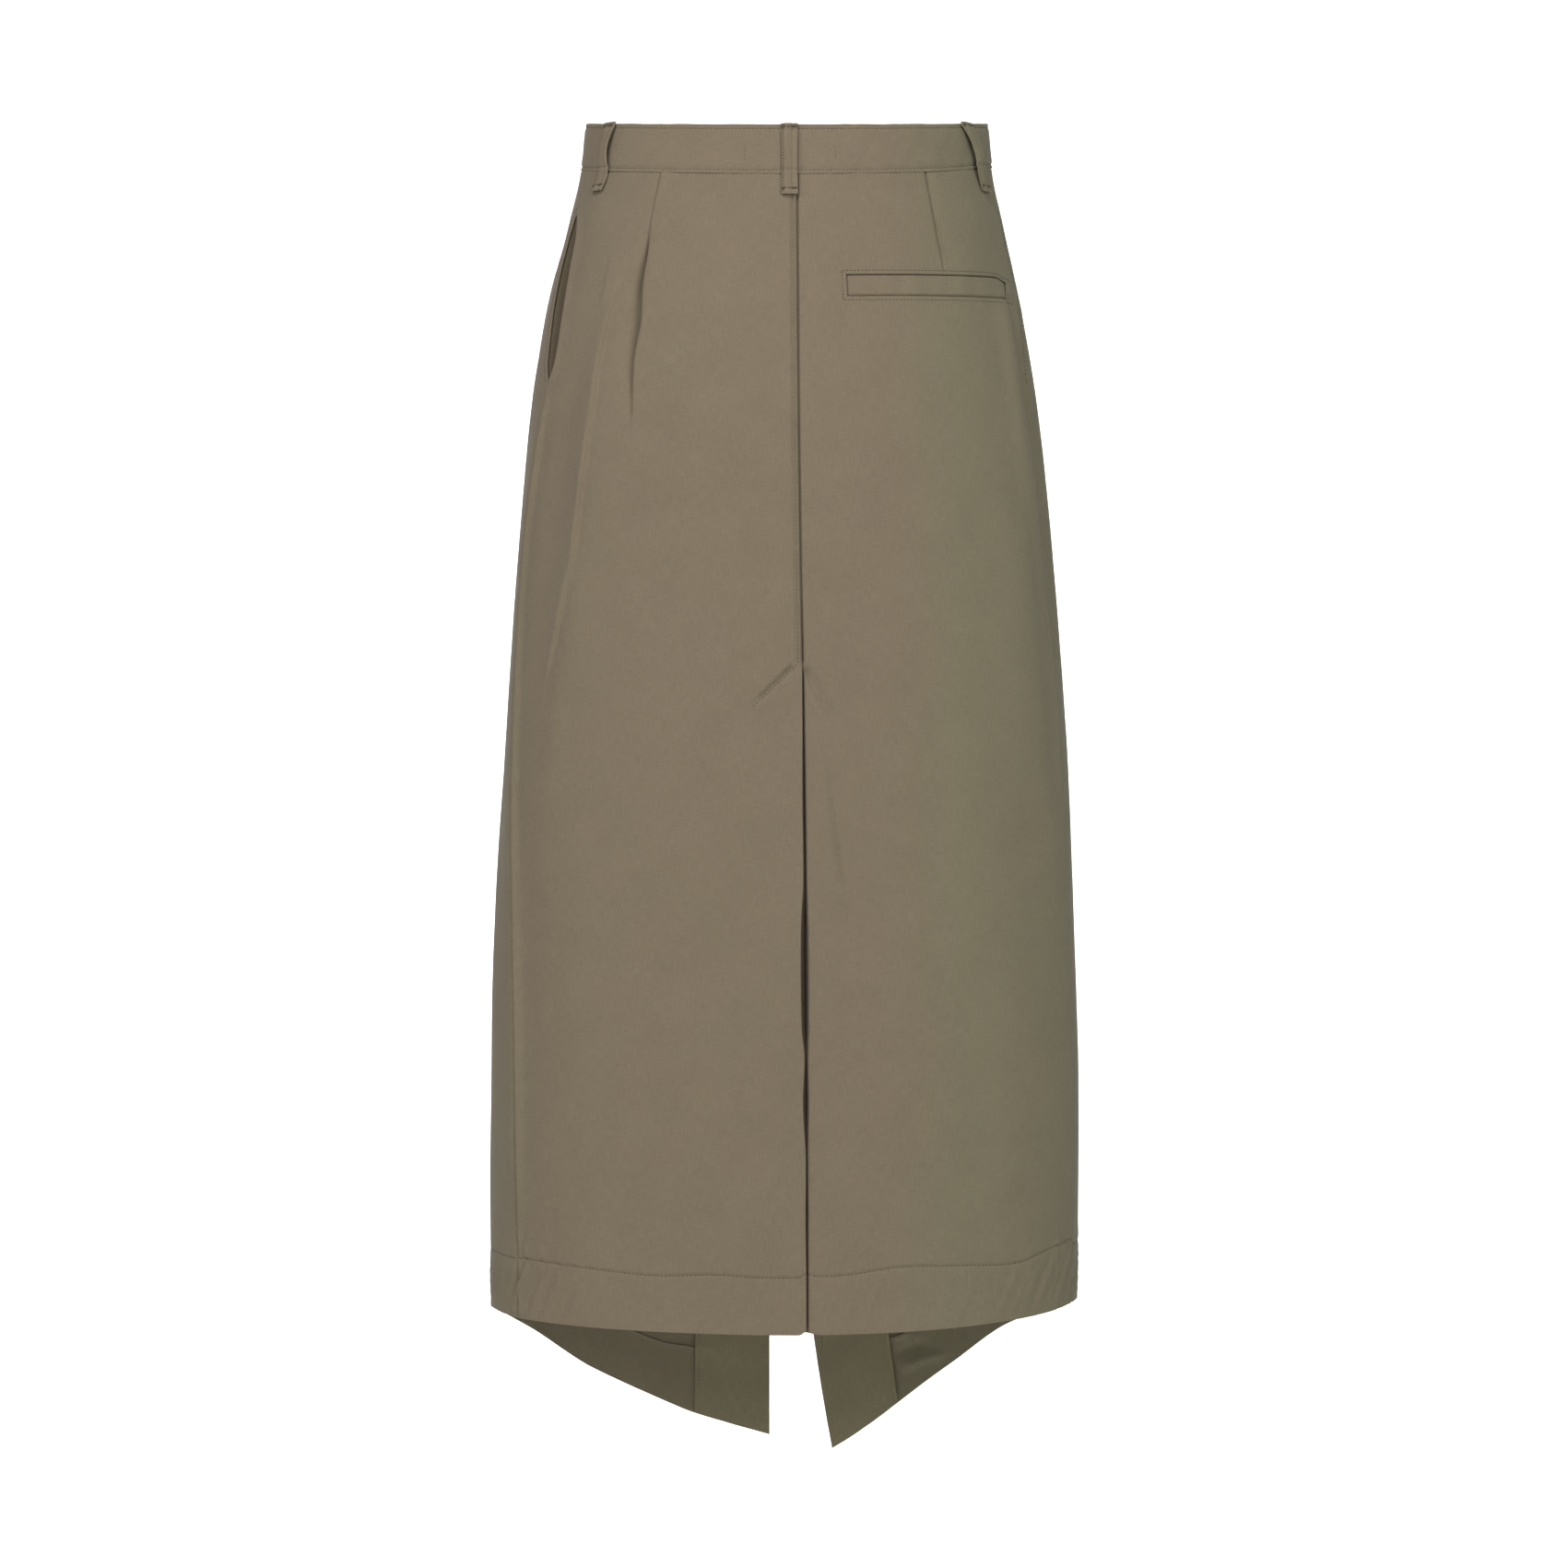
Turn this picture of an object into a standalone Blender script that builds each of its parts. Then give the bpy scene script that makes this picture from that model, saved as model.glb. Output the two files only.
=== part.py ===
"""Cargo utility skirt: a long, high-waisted straight skirt in cotton twill, hanging as it does when worn.

Frame: metres, +Z up. The wearer faces -Y and the wearer's left is +X. The origin is the middle of the
waist opening, half way up the waistband.

Every piece of cloth is a grid of spots. A spot is a bearing round the body (0 at the centre back, +90 at
the wearer's left side, 180 at the centre front), a height, and a lift off the skirt's own surface. The
same surface carries every piece, so what is sewn on a panel follows the panel's folds.
"""

import math
from collections import namedtuple
from functools import lru_cache

import bmesh
import bpy
from mathutils import Matrix, Vector

# ------------------------------------------------------------------ driving dimensions, in metres
CLOTH = 0.0015              # wall of a panel
FACING_CLOTH = 0.0012       # wall of a facing or a welt
BAND_CLOTH = 0.0022         # wall of the waistband, which is several layers of cloth
LOOP_CLOTH = 0.0016         # wall of a belt loop, a folded strip
SEAM_GAP = 0.0003           # between two pieces that are sewn together
BAND_PROUD = 0.0004         # how far the waistband stands out past the panels

BAND_HEIGHT = 0.0326
BAND_TOP = BAND_HEIGHT / 2  # at the sides
WAIST_TILT = 0.145          # the waist falls this much for each metre towards the back
TILT_EASE = 0.010           # rounds the start of that fall at the sides

CENTRE_FRONT = -0.003       # where the two front panels meet, towards the wearer's left
FLY_BOTTOM = -0.185
SLIT_TOP = -0.550
SLIT_TIP = -0.9083          # the lowest point of the front hem
SLIT_LEFT_OPEN = 0.0148     # how far the slit's left edge swings away from the centre front
SLIT_LEFT_STRAIGHT = 0.78   # the part of the slit over which it does so
SLIT_RIGHT_OPEN = 0.0292
SLIT_RIGHT_CURVE = 2.3

VENT_TOP = -0.3562
UNDERLAP_WIDTH = 0.030      # of the back vent, and its top edge slants down by as much
FLY_UNDERLAP_WIDTH = 0.034
LAP_LIFT = CLOTH + 2 * SEAM_GAP     # an upper layer stands off the one under it
LAP_EASE = 0.046            # an upper layer comes down to the surface over this distance
LAP_FADE = 0.060            # the same, along the edge

BACK_HEM = -0.7967
LEFT_SIDE_HEM = -0.7915
RIGHT_SIDE_HEM = -0.7840
HEM_ROUNDING = 2.4          # the back hem falls quickest next to the sides

POCKET_MOUTH_TOP = -0.046   # hip pockets in the side seams
POCKET_MOUTH_BOTTOM = -0.162
POCKET_MOUTH_GAPE = 0.009

WELT_INNER = -0.0394        # the back pocket's welt, towards the wearer's left
WELT_OUTER = -0.1475
WELT_INNER_HEIGHT = -0.1057
WELT_OUTER_HEIGHT = -0.1012
WELT_WIDTH = 0.0160

LOOP_WIDTH = 0.0112
LOOP_ABOVE = 0.0015         # a belt loop reaches past the waistband's top edge by this
LOOP_BELOW = 0.0140         # and past the waist seam by this

BAND_OVERLAP = 0.004        # the waistband's upper end passes the centre front
BAND_UNDERLAP = 0.036
BAND_LAP_LIFT = BAND_CLOTH + 2 * SEAM_GAP
BAND_LAP_EASE = 0.026       # the waistband's upper end comes down over this distance

BUTTON_RADIUS = 0.0085
BUTTON_THICKNESS = 0.0030
BUTTON_RIM = 0.0016         # width of the button's raised rim
BUTTON_DISH = 0.0008        # depth of its middle below the rim
BUTTON_OFFSET = -0.013      # from the centre front, towards the wearer's right
BUTTON_SIDES = 28

KHAKI = (0.225, 0.190, 0.125)
KHAKI_INSIDE = (0.190, 0.162, 0.105)
HORN = (0.075, 0.060, 0.042)

# ------------------------------------------------------------------ the body of the skirt
# Half widths and depths are measured from the origin; seams are bearings in degrees. A section's power
# is that of its superellipse: 2 is an ellipse, and more is squarer.
Section = namedtuple("Section", "height half_left half_right depth_back depth_front seam_left seam_right power")
SECTIONS = (
    Section(+0.016, 0.1361, 0.1372, 0.0962, 0.0960, 79.5, 79.5, 2.15),
    Section(-0.016, 0.1398, 0.1402, 0.0988, 0.0980, 78.5, 79.0, 2.15),
    Section(-0.055, 0.1490, 0.1486, 0.1060, 0.1035, 76.0, 78.0, 2.20),
    Section(-0.118, 0.1643, 0.1620, 0.1180, 0.1090, 72.0, 77.0, 2.25),
    Section(-0.181, 0.1744, 0.1720, 0.1250, 0.1125, 71.0, 76.5, 2.30),
    Section(-0.276, 0.1828, 0.1820, 0.1262, 0.1160, 75.5, 76.5, 2.30),
    Section(-0.402, 0.1916, 0.1913, 0.1235, 0.1195, 75.0, 76.5, 2.35),
    Section(-0.528, 0.1991, 0.1966, 0.1208, 0.1225, 71.5, 77.0, 2.40),
    Section(-0.654, 0.2017, 0.1996, 0.1192, 0.1250, 70.0, 78.0, 2.40),
    Section(-0.795, 0.2014, 0.1980, 0.1180, 0.1275, 70.0, 78.0, 2.40),
    Section(-0.920, 0.2000, 0.1960, 0.1172, 0.1290, 70.0, 78.0, 2.40),
)

# The centre back seam and the vent's edge lean towards the wearer's right on the way down.
BackLine = namedtuple("BackLine", "height x")
BACK_LINE = (
    BackLine(-0.020, -0.0066),
    BackLine(-0.200, -0.0076),
    BackLine(-0.3562, -0.0103),
    BackLine(-0.528, -0.0122),
    BackLine(-0.800, -0.0134),
)

# How far the front hem has dropped below the side's hem, by the share of the panel from side to slit.
HemDrop = namedtuple("HemDrop", "share drop")
HEM_DROP_LEFT = (
    HemDrop(0.00, 0.0000),
    HemDrop(0.13, -0.0025),
    HemDrop(0.26, 0.0040),
    HemDrop(0.40, 0.0228),
    HemDrop(0.55, 0.0554),
    HemDrop(0.75, 0.0856),
    HemDrop(0.88, 0.0980),
    HemDrop(1.00, 0.1070),
)
HEM_DROP_RIGHT = (
    HemDrop(0.00, 0.0000),
    HemDrop(0.12, 0.0008),
    HemDrop(0.28, 0.0125),
    HemDrop(0.45, 0.0298),
    HemDrop(0.60, 0.0595),
    HemDrop(0.80, 0.0960),
    HemDrop(0.92, 0.1144),
    HemDrop(1.00, 0.1243),
)

# Folds are soft ridges (lift above zero) and troughs (below). Each runs from its top to its bottom height
# through three bearings, is as wide as given on the side nearer the centre back and on the other side,
# and rises and falls over those shares of its length.
Fold = namedtuple("Fold", "top bottom bearing_top bearing_mid bearing_bottom lift inner outer rise fall")
FOLDS = {
    "left drape ridge": Fold(-0.085, -0.470, 51.5, 56.0, 65.0, 0.0034, 0.020, 0.011, 0.30, 0.45),
    "left drape trough": Fold(-0.110, -0.430, 58.0, 64.0, 69.0, -0.0030, 0.012, 0.014, 0.35, 0.45),
    "left dart fold": Fold(-0.020, -0.185, 41.0, 42.0, 41.0, 0.0020, 0.026, 0.004, 0.60, 0.35),
    "left dart trough": Fold(-0.060, -0.170, 45.5, 46.0, 45.0, -0.0014, 0.005, 0.014, 0.50, 0.40),
    "right dart": Fold(-0.018, -0.094, -49.5, -50.0, -51.5, -0.0008, 0.004, 0.004, 0.10, 0.30),
    "right side ridge": Fold(-0.125, -0.560, -64.0, -66.0, -73.0, 0.0030, 0.030, 0.010, 0.25, 0.50),
    "right side trough": Fold(-0.115, -0.420, -73.0, -76.0, -82.0, -0.0045, 0.010, 0.016, 0.30, 0.50),
    "vent stand": Fold(-0.420, -0.720, 1.0, 1.0, 1.0, 0.0016, 0.012, 0.020, 0.40, 0.40),
    "vent pull": Fold(-0.340, -0.540, -9.0, -17.0, -24.0, 0.0016, 0.012, 0.012, 0.20, 0.60),
    "left front ridge": Fold(-0.120, -0.520, 126.0, 124.0, 122.0, 0.0034, 0.022, 0.016, 0.35, 0.45),
    "left front trough": Fold(-0.140, -0.480, 138.0, 137.0, 136.0, -0.0028, 0.018, 0.018, 0.35, 0.45),
    "right front ridge": Fold(-0.100, -0.470, -128.0, -126.0, -121.0, 0.0032, 0.020, 0.018, 0.35, 0.45),
    "right front trough": Fold(-0.130, -0.520, -140.0, -139.0, -136.0, -0.0028, 0.018, 0.020, 0.35, 0.45),
    "left slit kick": Fold(-0.600, -1.000, 172.0, 171.0, 170.0, 0.0060, 0.040, 0.040, 0.80, 0.05),
    "right slit kick": Fold(-0.580, -1.000, -170.0, -168.0, -164.0, 0.0080, 0.040, 0.050, 0.80, 0.05),
}

# Belt loops: bearings of the top and bottom ends, how far the middle stands off the waistband, and how
# much further the edge with the smaller bearing stands off.
BeltLoop = namedtuple("BeltLoop", "bearing_top bearing_bottom slack twist")
BELT_LOOPS = {
    "belt_loop_back": BeltLoop(-1.1, -1.3, 0.0008, 0.0),
    "belt_loop_left": BeltLoop(65.2, 65.8, 0.0034, 0.0014),
    "belt_loop_right": BeltLoop(-67.0, -72.0, 0.0036, -0.0016),
    "belt_loop_front_left": BeltLoop(143.0, 143.5, 0.0012, 0.0004),
    "belt_loop_front_right": BeltLoop(-143.0, -143.5, 0.0012, -0.0004),
}

BACK_COLUMNS = 18
FRONT_COLUMNS = 22
UNDERLAP_COLUMNS = 3
SLIT_FACING_COLUMNS = 4     # of the front panel's columns, about 50 mm
POCKET_FACING_COLUMNS = 3
BAND_COLUMNS = 92
BAND_ROWS = 2
LOOP_ROWS = 8

# Every panel has the same rows, so that two panels meet point to point at their seam.
ROWS_OF_FLY = 7             # from the waist seam to the bottom of the fly
ROWS_TO_VENT = 6            # from there to the top of the vent
ROWS_TO_SLIT = 7            # from there to the top of the slit
ROWS_OF_SLIT = 9            # from there to the hem

Spot = namedtuple("Spot", "bearing height lift")


# ------------------------------------------------------------------ numbers between the rows of a table
def row_at(table, place):
    """The table's row at a place between its rows, every column on a smooth curve through them."""
    places = [row[0] for row in table]
    last = len(table) - 1
    rising = places[-1] > places[0]
    step = 0
    while step < last - 1 and (place > places[step + 1]) == rising:
        step += 1
    span = places[step + 1] - places[step]
    share = min(1.0, max(0.0, (place - places[step]) / span))

    def slope(index, column):
        before, after = max(0, index - 1), min(last, index + 1)
        return (table[after][column] - table[before][column]) / (places[after] - places[before])

    values = [place]
    for column in range(1, len(table[0])):
        start, end = table[step][column], table[step + 1][column]
        start_slope, end_slope = slope(step, column) * span, slope(step + 1, column) * span
        square, cube = share ** 2, share ** 3
        values.append(
            (2 * cube - 3 * square + 1) * start
            + (cube - 2 * square + share) * start_slope
            + (3 * square - 2 * cube) * end
            + (cube - square) * end_slope
        )
    return type(table[0])(*values)


def ease(share):
    """Smooth step from 0 to 1 as share goes from 0 to 1."""
    share = min(1.0, max(0.0, share))
    return share * share * (3 - 2 * share)


def blend(start, end, share):
    return start + (end - start) * share


# ------------------------------------------------------------------ the skirt's surface
@lru_cache(maxsize=None)
def section_at(height):
    return row_at(SECTIONS, height)


def outline(section, bearing):
    """Point of a section at a bearing, in plan."""
    angle = math.radians(bearing)
    across, along = math.sin(angle), math.cos(angle)
    half = section.half_left if across > 0 else section.half_right
    depth = section.depth_back if along > 0 else section.depth_front
    power = section.power
    radius = ((abs(across) / half) ** power + (abs(along) / depth) ** power) ** (-1 / power)
    return Vector((radius * across, radius * along))


def bearing_at(x, height, front=False):
    """Bearing of the section's point that lies x towards the wearer's left, on its back or its front."""
    section = section_at(height)
    half = section.half_left if x > 0 else section.half_right
    depth = section.depth_front if front else section.depth_back
    y = depth * (1 - (abs(x) / half) ** section.power) ** (1 / section.power)
    return math.degrees(math.atan2(x, -y if front else y))


def degrees_for(length, bearing, height):
    """Bearing that a length along the surface takes up."""
    return math.degrees(length / outline(section_at(height), bearing).length)


def distance_between(bearing, other, height):
    """Length along the surface between two bearings that are close together."""
    return abs(math.radians(bearing - other)) * outline(section_at(height), bearing).length


def fold_lift(bearing, height):
    """How far the folds push the surface out, or pull it in."""
    total = 0.0
    for fold in FOLDS.values():
        share = (fold.top - height) / (fold.top - fold.bottom)
        if not 0 < share < 1:
            continue
        straight = blend(fold.bearing_top, fold.bearing_bottom, share)
        bow = fold.bearing_mid - (fold.bearing_top + fold.bearing_bottom) / 2
        centre = straight + 4 * bow * share * (1 - share)
        apart = (bearing - centre + 180) % 360 - 180
        distance = math.radians(apart) * outline(section_at(height), bearing).length
        is_outer = (apart > 0) == (centre > 0)
        width = fold.outer if is_outer else fold.inner
        across = math.exp(-((distance / width) ** 2))
        total += fold.lift * across * ease(share / fold.rise) * ease((1 - share) / fold.fall)
    return total


def skin(spot):
    """Point in space of a spot."""
    section = section_at(spot.height)
    here = outline(section, spot.bearing)
    along = outline(section, spot.bearing + 0.5) - outline(section, spot.bearing - 0.5)
    outwards = Vector((-along.y, along.x)).normalized()
    flat = here + outwards * (fold_lift(spot.bearing, spot.height) + spot.lift)
    return Vector((flat.x, flat.y, spot.height))


def waist_fall(bearing):
    """How far the waist has fallen at a bearing: nothing in front, most at the centre back."""
    y = outline(section_at(-BAND_TOP), bearing).y
    return WAIST_TILT * (y + math.hypot(y, TILT_EASE) - TILT_EASE) / 2


def waist_seam(bearing):
    return -BAND_TOP - waist_fall(bearing)


# ------------------------------------------------------------------ edges of the panels
def centre_back(height):
    """Bearing of the centre back seam, and of the vent below it."""
    return bearing_at(row_at(BACK_LINE, height).x, height)


def side_seam(side, height):
    """Bearing of a side seam; side is +1 for the wearer's left and -1 for the right."""
    section = section_at(height)
    return section.seam_left if side > 0 else -section.seam_right


def slit_edge(side, height):
    """Bearing of a front panel's centre edge, continuous through the centre front for its side."""
    depth = max(0.0, (SLIT_TOP - height) / (SLIT_TOP - SLIT_TIP))
    if side > 0:
        swing = SLIT_LEFT_OPEN * math.sin(math.radians(90) * min(1.0, depth / SLIT_LEFT_STRAIGHT))
    else:
        swing = -SLIT_RIGHT_OPEN * depth ** SLIT_RIGHT_CURVE
    bearing = bearing_at(CENTRE_FRONT + swing, height, front=True)
    return bearing % 360 if side > 0 else -(-bearing % 360)


def pocket_gape(height):
    """How far a hip pocket's front edge stands away from the side seam."""
    share = (POCKET_MOUTH_TOP - height) / (POCKET_MOUTH_TOP - POCKET_MOUTH_BOTTOM)
    return POCKET_MOUTH_GAPE * math.sin(math.pi * share) ** 0.8 if 0 < share < 1 else 0.0


def side_hem(side):
    return LEFT_SIDE_HEM if side > 0 else RIGHT_SIDE_HEM


def back_hem(side, share):
    """Height of a back panel's hem, by its share of the way from the side to the centre."""
    return blend(side_hem(side), BACK_HEM, 1 - (1 - share) ** HEM_ROUNDING)


def front_hem(side, share):
    table = HEM_DROP_LEFT if side > 0 else HEM_DROP_RIGHT
    return side_hem(side) - row_at(table, share).drop


def lap_lift(from_edge, beyond_end):
    """Lift of an upper layer at a distance from its edge, and past the end of the stretch that laps."""
    return LAP_LIFT * ease(1 - (from_edge - UNDERLAP_WIDTH) / LAP_EASE) * ease(1 - beyond_end / LAP_FADE)


# ------------------------------------------------------------------ making cloth
def cloth_solid(name, rows, wall, colour):
    """A closed wall of cloth through a grid of spots, its inner face lying wall inside its outer one.

    A spot may be None, which leaves a notch in the grid.
    """
    mesh_builder = bmesh.new()
    outer, inner = {}, {}
    for row_number, row in enumerate(rows):
        for column, spot in enumerate(row):
            if spot is not None:
                key = (row_number, column)
                outer[key] = mesh_builder.verts.new(skin(spot))
                inner[key] = mesh_builder.verts.new(skin(spot._replace(lift=spot.lift - wall)))
    edge_uses = {}
    for row_number in range(len(rows) - 1):
        for column in range(len(rows[0]) - 1):
            corners = [
                (row_number, column),
                (row_number, column + 1),
                (row_number + 1, column + 1),
                (row_number + 1, column),
            ]
            if not all(corner in outer for corner in corners):
                continue
            for half in (corners[:3], corners[2:] + corners[:1]):
                mesh_builder.faces.new([outer[corner] for corner in half])
                mesh_builder.faces.new([inner[corner] for corner in reversed(half)])
            for start, end in zip(corners, corners[1:] + corners[:1]):
                edge_uses.setdefault(frozenset((start, end)), []).append((start, end))
    for uses in edge_uses.values():
        if len(uses) == 1:
            start, end = uses[0]
            mesh_builder.faces.new([outer[end], outer[start], inner[start], inner[end]])
    bmesh.ops.recalc_face_normals(mesh_builder, faces=mesh_builder.faces)
    return new_object(name, mesh_builder, colour, 0.85)


def new_object(name, mesh_builder, colour, roughness):
    """An object of its own with its own material, from a finished mesh builder."""
    mesh = bpy.data.meshes.new(name)
    mesh_builder.to_mesh(mesh)
    mesh_builder.free()
    material = bpy.data.materials.new(name)
    material.use_nodes = True
    shader = material.node_tree.nodes["Principled BSDF"]
    shader.inputs["Base Color"].default_value = (*colour, 1.0)
    shader.inputs["Roughness"].default_value = roughness
    shader.inputs["Metallic"].default_value = 0.0
    mesh.materials.append(material)
    mesh.shade_smooth()
    mesh.set_sharp_from_angle(angle=math.radians(40))
    made = bpy.data.objects.new(name, mesh)
    bpy.context.scene.collection.objects.link(made)
    return made


def heights_through(stops, rows):
    """Heights from the first stop down to the last, with so many rows between each two."""
    heights = []
    for start, end, count in zip(stops, stops[1:], rows):
        heights += [blend(start, end, row / count) for row in range(count)]
    return heights + [stops[-1]]


def panel_heights(top, hem):
    """Heights of a panel's rows, between its own top and hem."""
    rows = (ROWS_OF_FLY, ROWS_TO_VENT, ROWS_TO_SLIT, ROWS_OF_SLIT)
    return heights_through((top, FLY_BOTTOM, VENT_TOP, SLIT_TOP, hem), rows)


# ------------------------------------------------------------------ panels
def back_spot(side, share, height):
    """Spot of a back panel, at a share of the way from its side seam to the centre back."""
    seam, centre = side_seam(side, height), centre_back(height)
    margin = side * degrees_for(SEAM_GAP / 2, seam, height)
    bearing = blend(seam - margin, centre + margin, share)
    lift = 0.0
    if side > 0:
        lift = lap_lift(distance_between(bearing, centre, height), height - VENT_TOP)
    return Spot(bearing, height, lift)


def front_spot(side, share, height):
    """Spot of a front panel, at a share of the way from its side seam to its centre edge."""
    seam, edge = side_seam(side, height), slit_edge(side, height)
    start = seam + side * degrees_for(SEAM_GAP / 2 + pocket_gape(height), seam, height)
    end = edge - side * degrees_for(SEAM_GAP / 2, edge, height)
    bearing = blend(start, end, share)
    lift = 0.0
    if side < 0:
        lift = lap_lift(distance_between(bearing, edge, height), FLY_BOTTOM - height)
    return Spot(bearing, height, lift)


def back_column(side, share):
    """A back panel's spots from the waist seam down to the hem, at a share of its width."""
    waist_bearing = blend(side_seam(side, -BAND_TOP), centre_back(-BAND_TOP), share)
    heights = panel_heights(waist_seam(waist_bearing) - SEAM_GAP, back_hem(side, share))
    return [back_spot(side, share, height) for height in heights]


def front_column(side, share):
    """A front panel's spots from the waist seam down to the hem, at a share of its width."""
    waist_bearing = blend(side_seam(side, -BAND_TOP), slit_edge(side, -BAND_TOP), share)
    heights = panel_heights(waist_seam(waist_bearing) - SEAM_GAP, front_hem(side, share))
    return [front_spot(side, share, height) for height in heights]


def vent_underlap_column(reach):
    """Spots that carry the right back panel on under the left one, from the vent's top to the hem."""
    stops = (VENT_TOP - reach, SLIT_TOP, BACK_HEM)
    spots = [None] * (ROWS_OF_FLY + ROWS_TO_VENT)
    for height in heights_through(stops, (ROWS_TO_SLIT, ROWS_OF_SLIT)):
        centre = centre_back(height)
        spots.append(Spot(centre + degrees_for(reach, centre, height), height, 0.0))
    return spots


def fly_underlap_column(reach):
    """Spots that carry the left front panel on under the right one, from the waist down the fly."""
    spots = []
    for height in heights_through((-BAND_TOP - SEAM_GAP, FLY_BOTTOM), (ROWS_OF_FLY,)):
        edge = slit_edge(+1, height)
        spots.append(Spot(edge + degrees_for(reach, edge, height), height, 0.0))
    return spots + [None] * (ROWS_TO_VENT + ROWS_TO_SLIT + ROWS_OF_SLIT)


def back_panel_rows(side):
    columns = [back_column(side, number / BACK_COLUMNS) for number in range(BACK_COLUMNS + 1)]
    if side < 0:
        for number in range(1, UNDERLAP_COLUMNS + 1):
            columns.append(vent_underlap_column(UNDERLAP_WIDTH * number / UNDERLAP_COLUMNS))
    return list(zip(*columns))


def front_panel_rows(side):
    columns = [front_column(side, number / FRONT_COLUMNS) for number in range(FRONT_COLUMNS + 1)]
    if side > 0:
        for number in range(1, UNDERLAP_COLUMNS + 1):
            columns.append(fly_underlap_column(FLY_UNDERLAP_WIDTH * number / UNDERLAP_COLUMNS))
    return list(zip(*columns))


def make_panels():
    cloth_solid("back_left_panel", back_panel_rows(+1), CLOTH, KHAKI)
    cloth_solid("back_right_panel", back_panel_rows(-1), CLOTH, KHAKI)
    cloth_solid("front_left_panel", front_panel_rows(+1), CLOTH, KHAKI)
    cloth_solid("front_right_panel", front_panel_rows(-1), CLOTH, KHAKI)


# ------------------------------------------------------------------ facings
def inside(rows):
    """The same spots on the panels' inner face, a seam's gap away from it."""
    return [[spot._replace(lift=spot.lift - CLOTH - SEAM_GAP) for spot in row] for row in rows]


def slit_facing_rows(side):
    """Rows of a slit facing, on the last columns of its front panel."""
    first = FRONT_COLUMNS - SLIT_FACING_COLUMNS
    columns = [front_column(side, number / FRONT_COLUMNS) for number in range(first, FRONT_COLUMNS + 1)]
    rows_above = ROWS_OF_FLY + ROWS_TO_VENT + ROWS_TO_SLIT
    return inside(list(zip(*columns))[rows_above - 1:])


def pocket_facing_rows(side):
    """Rows of a hip pocket's facing, which shows in the pocket's mouth and lies inside both panels."""
    columns = [back_column(side, 1 / BACK_COLUMNS), back_column(side, 0.0)]
    columns += [front_column(side, number / FRONT_COLUMNS) for number in range(POCKET_FACING_COLUMNS)]
    return inside(list(zip(*columns))[1:ROWS_OF_FLY + 1])


def make_facings():
    cloth_solid("front_left_slit_facing", slit_facing_rows(+1), FACING_CLOTH, KHAKI_INSIDE)
    cloth_solid("front_right_slit_facing", slit_facing_rows(-1), FACING_CLOTH, KHAKI_INSIDE)
    cloth_solid("left_hip_pocket_facing", pocket_facing_rows(+1), FACING_CLOTH, KHAKI_INSIDE)
    cloth_solid("right_hip_pocket_facing", pocket_facing_rows(-1), FACING_CLOTH, KHAKI_INSIDE)


# ------------------------------------------------------------------ waistband, loops, welt and button
def band_lift(from_end):
    """Lift of the waistband's outer face at a distance from its upper end, which laps over the other."""
    return BAND_PROUD + BAND_LAP_LIFT * ease(1 - (from_end - BAND_UNDERLAP - BAND_OVERLAP) / BAND_LAP_EASE)


def waistband_rows():
    """Rows of the waistband, from its upper end at the centre front, round the back, to its lower end."""
    front = slit_edge(+1, 0.0)
    start = front - 360 - degrees_for(BAND_OVERLAP, front, 0.0)
    end = front + degrees_for(BAND_UNDERLAP, front, 0.0)
    rows = []
    for row in range(BAND_ROWS + 1):
        spots = []
        for column in range(BAND_COLUMNS + 1):
            bearing = blend(start, end, column / BAND_COLUMNS)
            height = waist_seam(bearing) + SEAM_GAP / 2 + (BAND_HEIGHT - SEAM_GAP) * (1 - row / BAND_ROWS)
            from_end = distance_between(bearing, start, 0.0)
            spots.append(Spot(bearing, height, band_lift(from_end)))
        rows.append(spots)
    return rows


def belt_loop_rows(loop):
    """Rows of a belt loop: both ends sewn down, the middle standing off by its slack."""
    seat = BAND_PROUD + SEAM_GAP + LOOP_CLOTH
    seam = waist_seam(loop.bearing_top)
    top, bottom = seam + BAND_HEIGHT + LOOP_ABOVE, seam - LOOP_BELOW
    rows = []
    for row in range(LOOP_ROWS + 1):
        share = row / LOOP_ROWS
        height = blend(top, bottom, share)
        centre = blend(loop.bearing_top, loop.bearing_bottom, share)
        half = degrees_for(LOOP_WIDTH / 2, centre, height)
        rise = math.sin(math.pi * share)
        spots = []
        for part in (-1, 0, 1):
            lift = seat + rise * (loop.slack - part * loop.twist)
            spots.append(Spot(centre + part * half, height, lift))
        rows.append(spots)
    return rows


def welt_rows():
    """Rows of the back pocket's welt, over the right back panel and bent where the panel's columns are."""
    seam, centre = side_seam(-1, WELT_INNER_HEIGHT), centre_back(WELT_INNER_HEIGHT)
    inner = (bearing_at(WELT_INNER, WELT_INNER_HEIGHT) - seam) / (centre - seam)
    outer = (bearing_at(WELT_OUTER, WELT_OUTER_HEIGHT) - seam) / (centre - seam)
    bends = [number / BACK_COLUMNS for number in range(BACK_COLUMNS + 1)]
    shares = [outer] + [share for share in bends if outer < share < inner] + [inner]
    rows = []
    for part in (+0.5, 0.0, -0.5):
        spots = []
        for share in shares:
            along = (share - inner) / (outer - inner)
            height = blend(WELT_INNER_HEIGHT, WELT_OUTER_HEIGHT, along) + part * WELT_WIDTH
            spots.append(back_spot(-1, share, height)._replace(lift=SEAM_GAP + FACING_CLOTH))
        rows.append(spots)
    return rows


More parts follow.
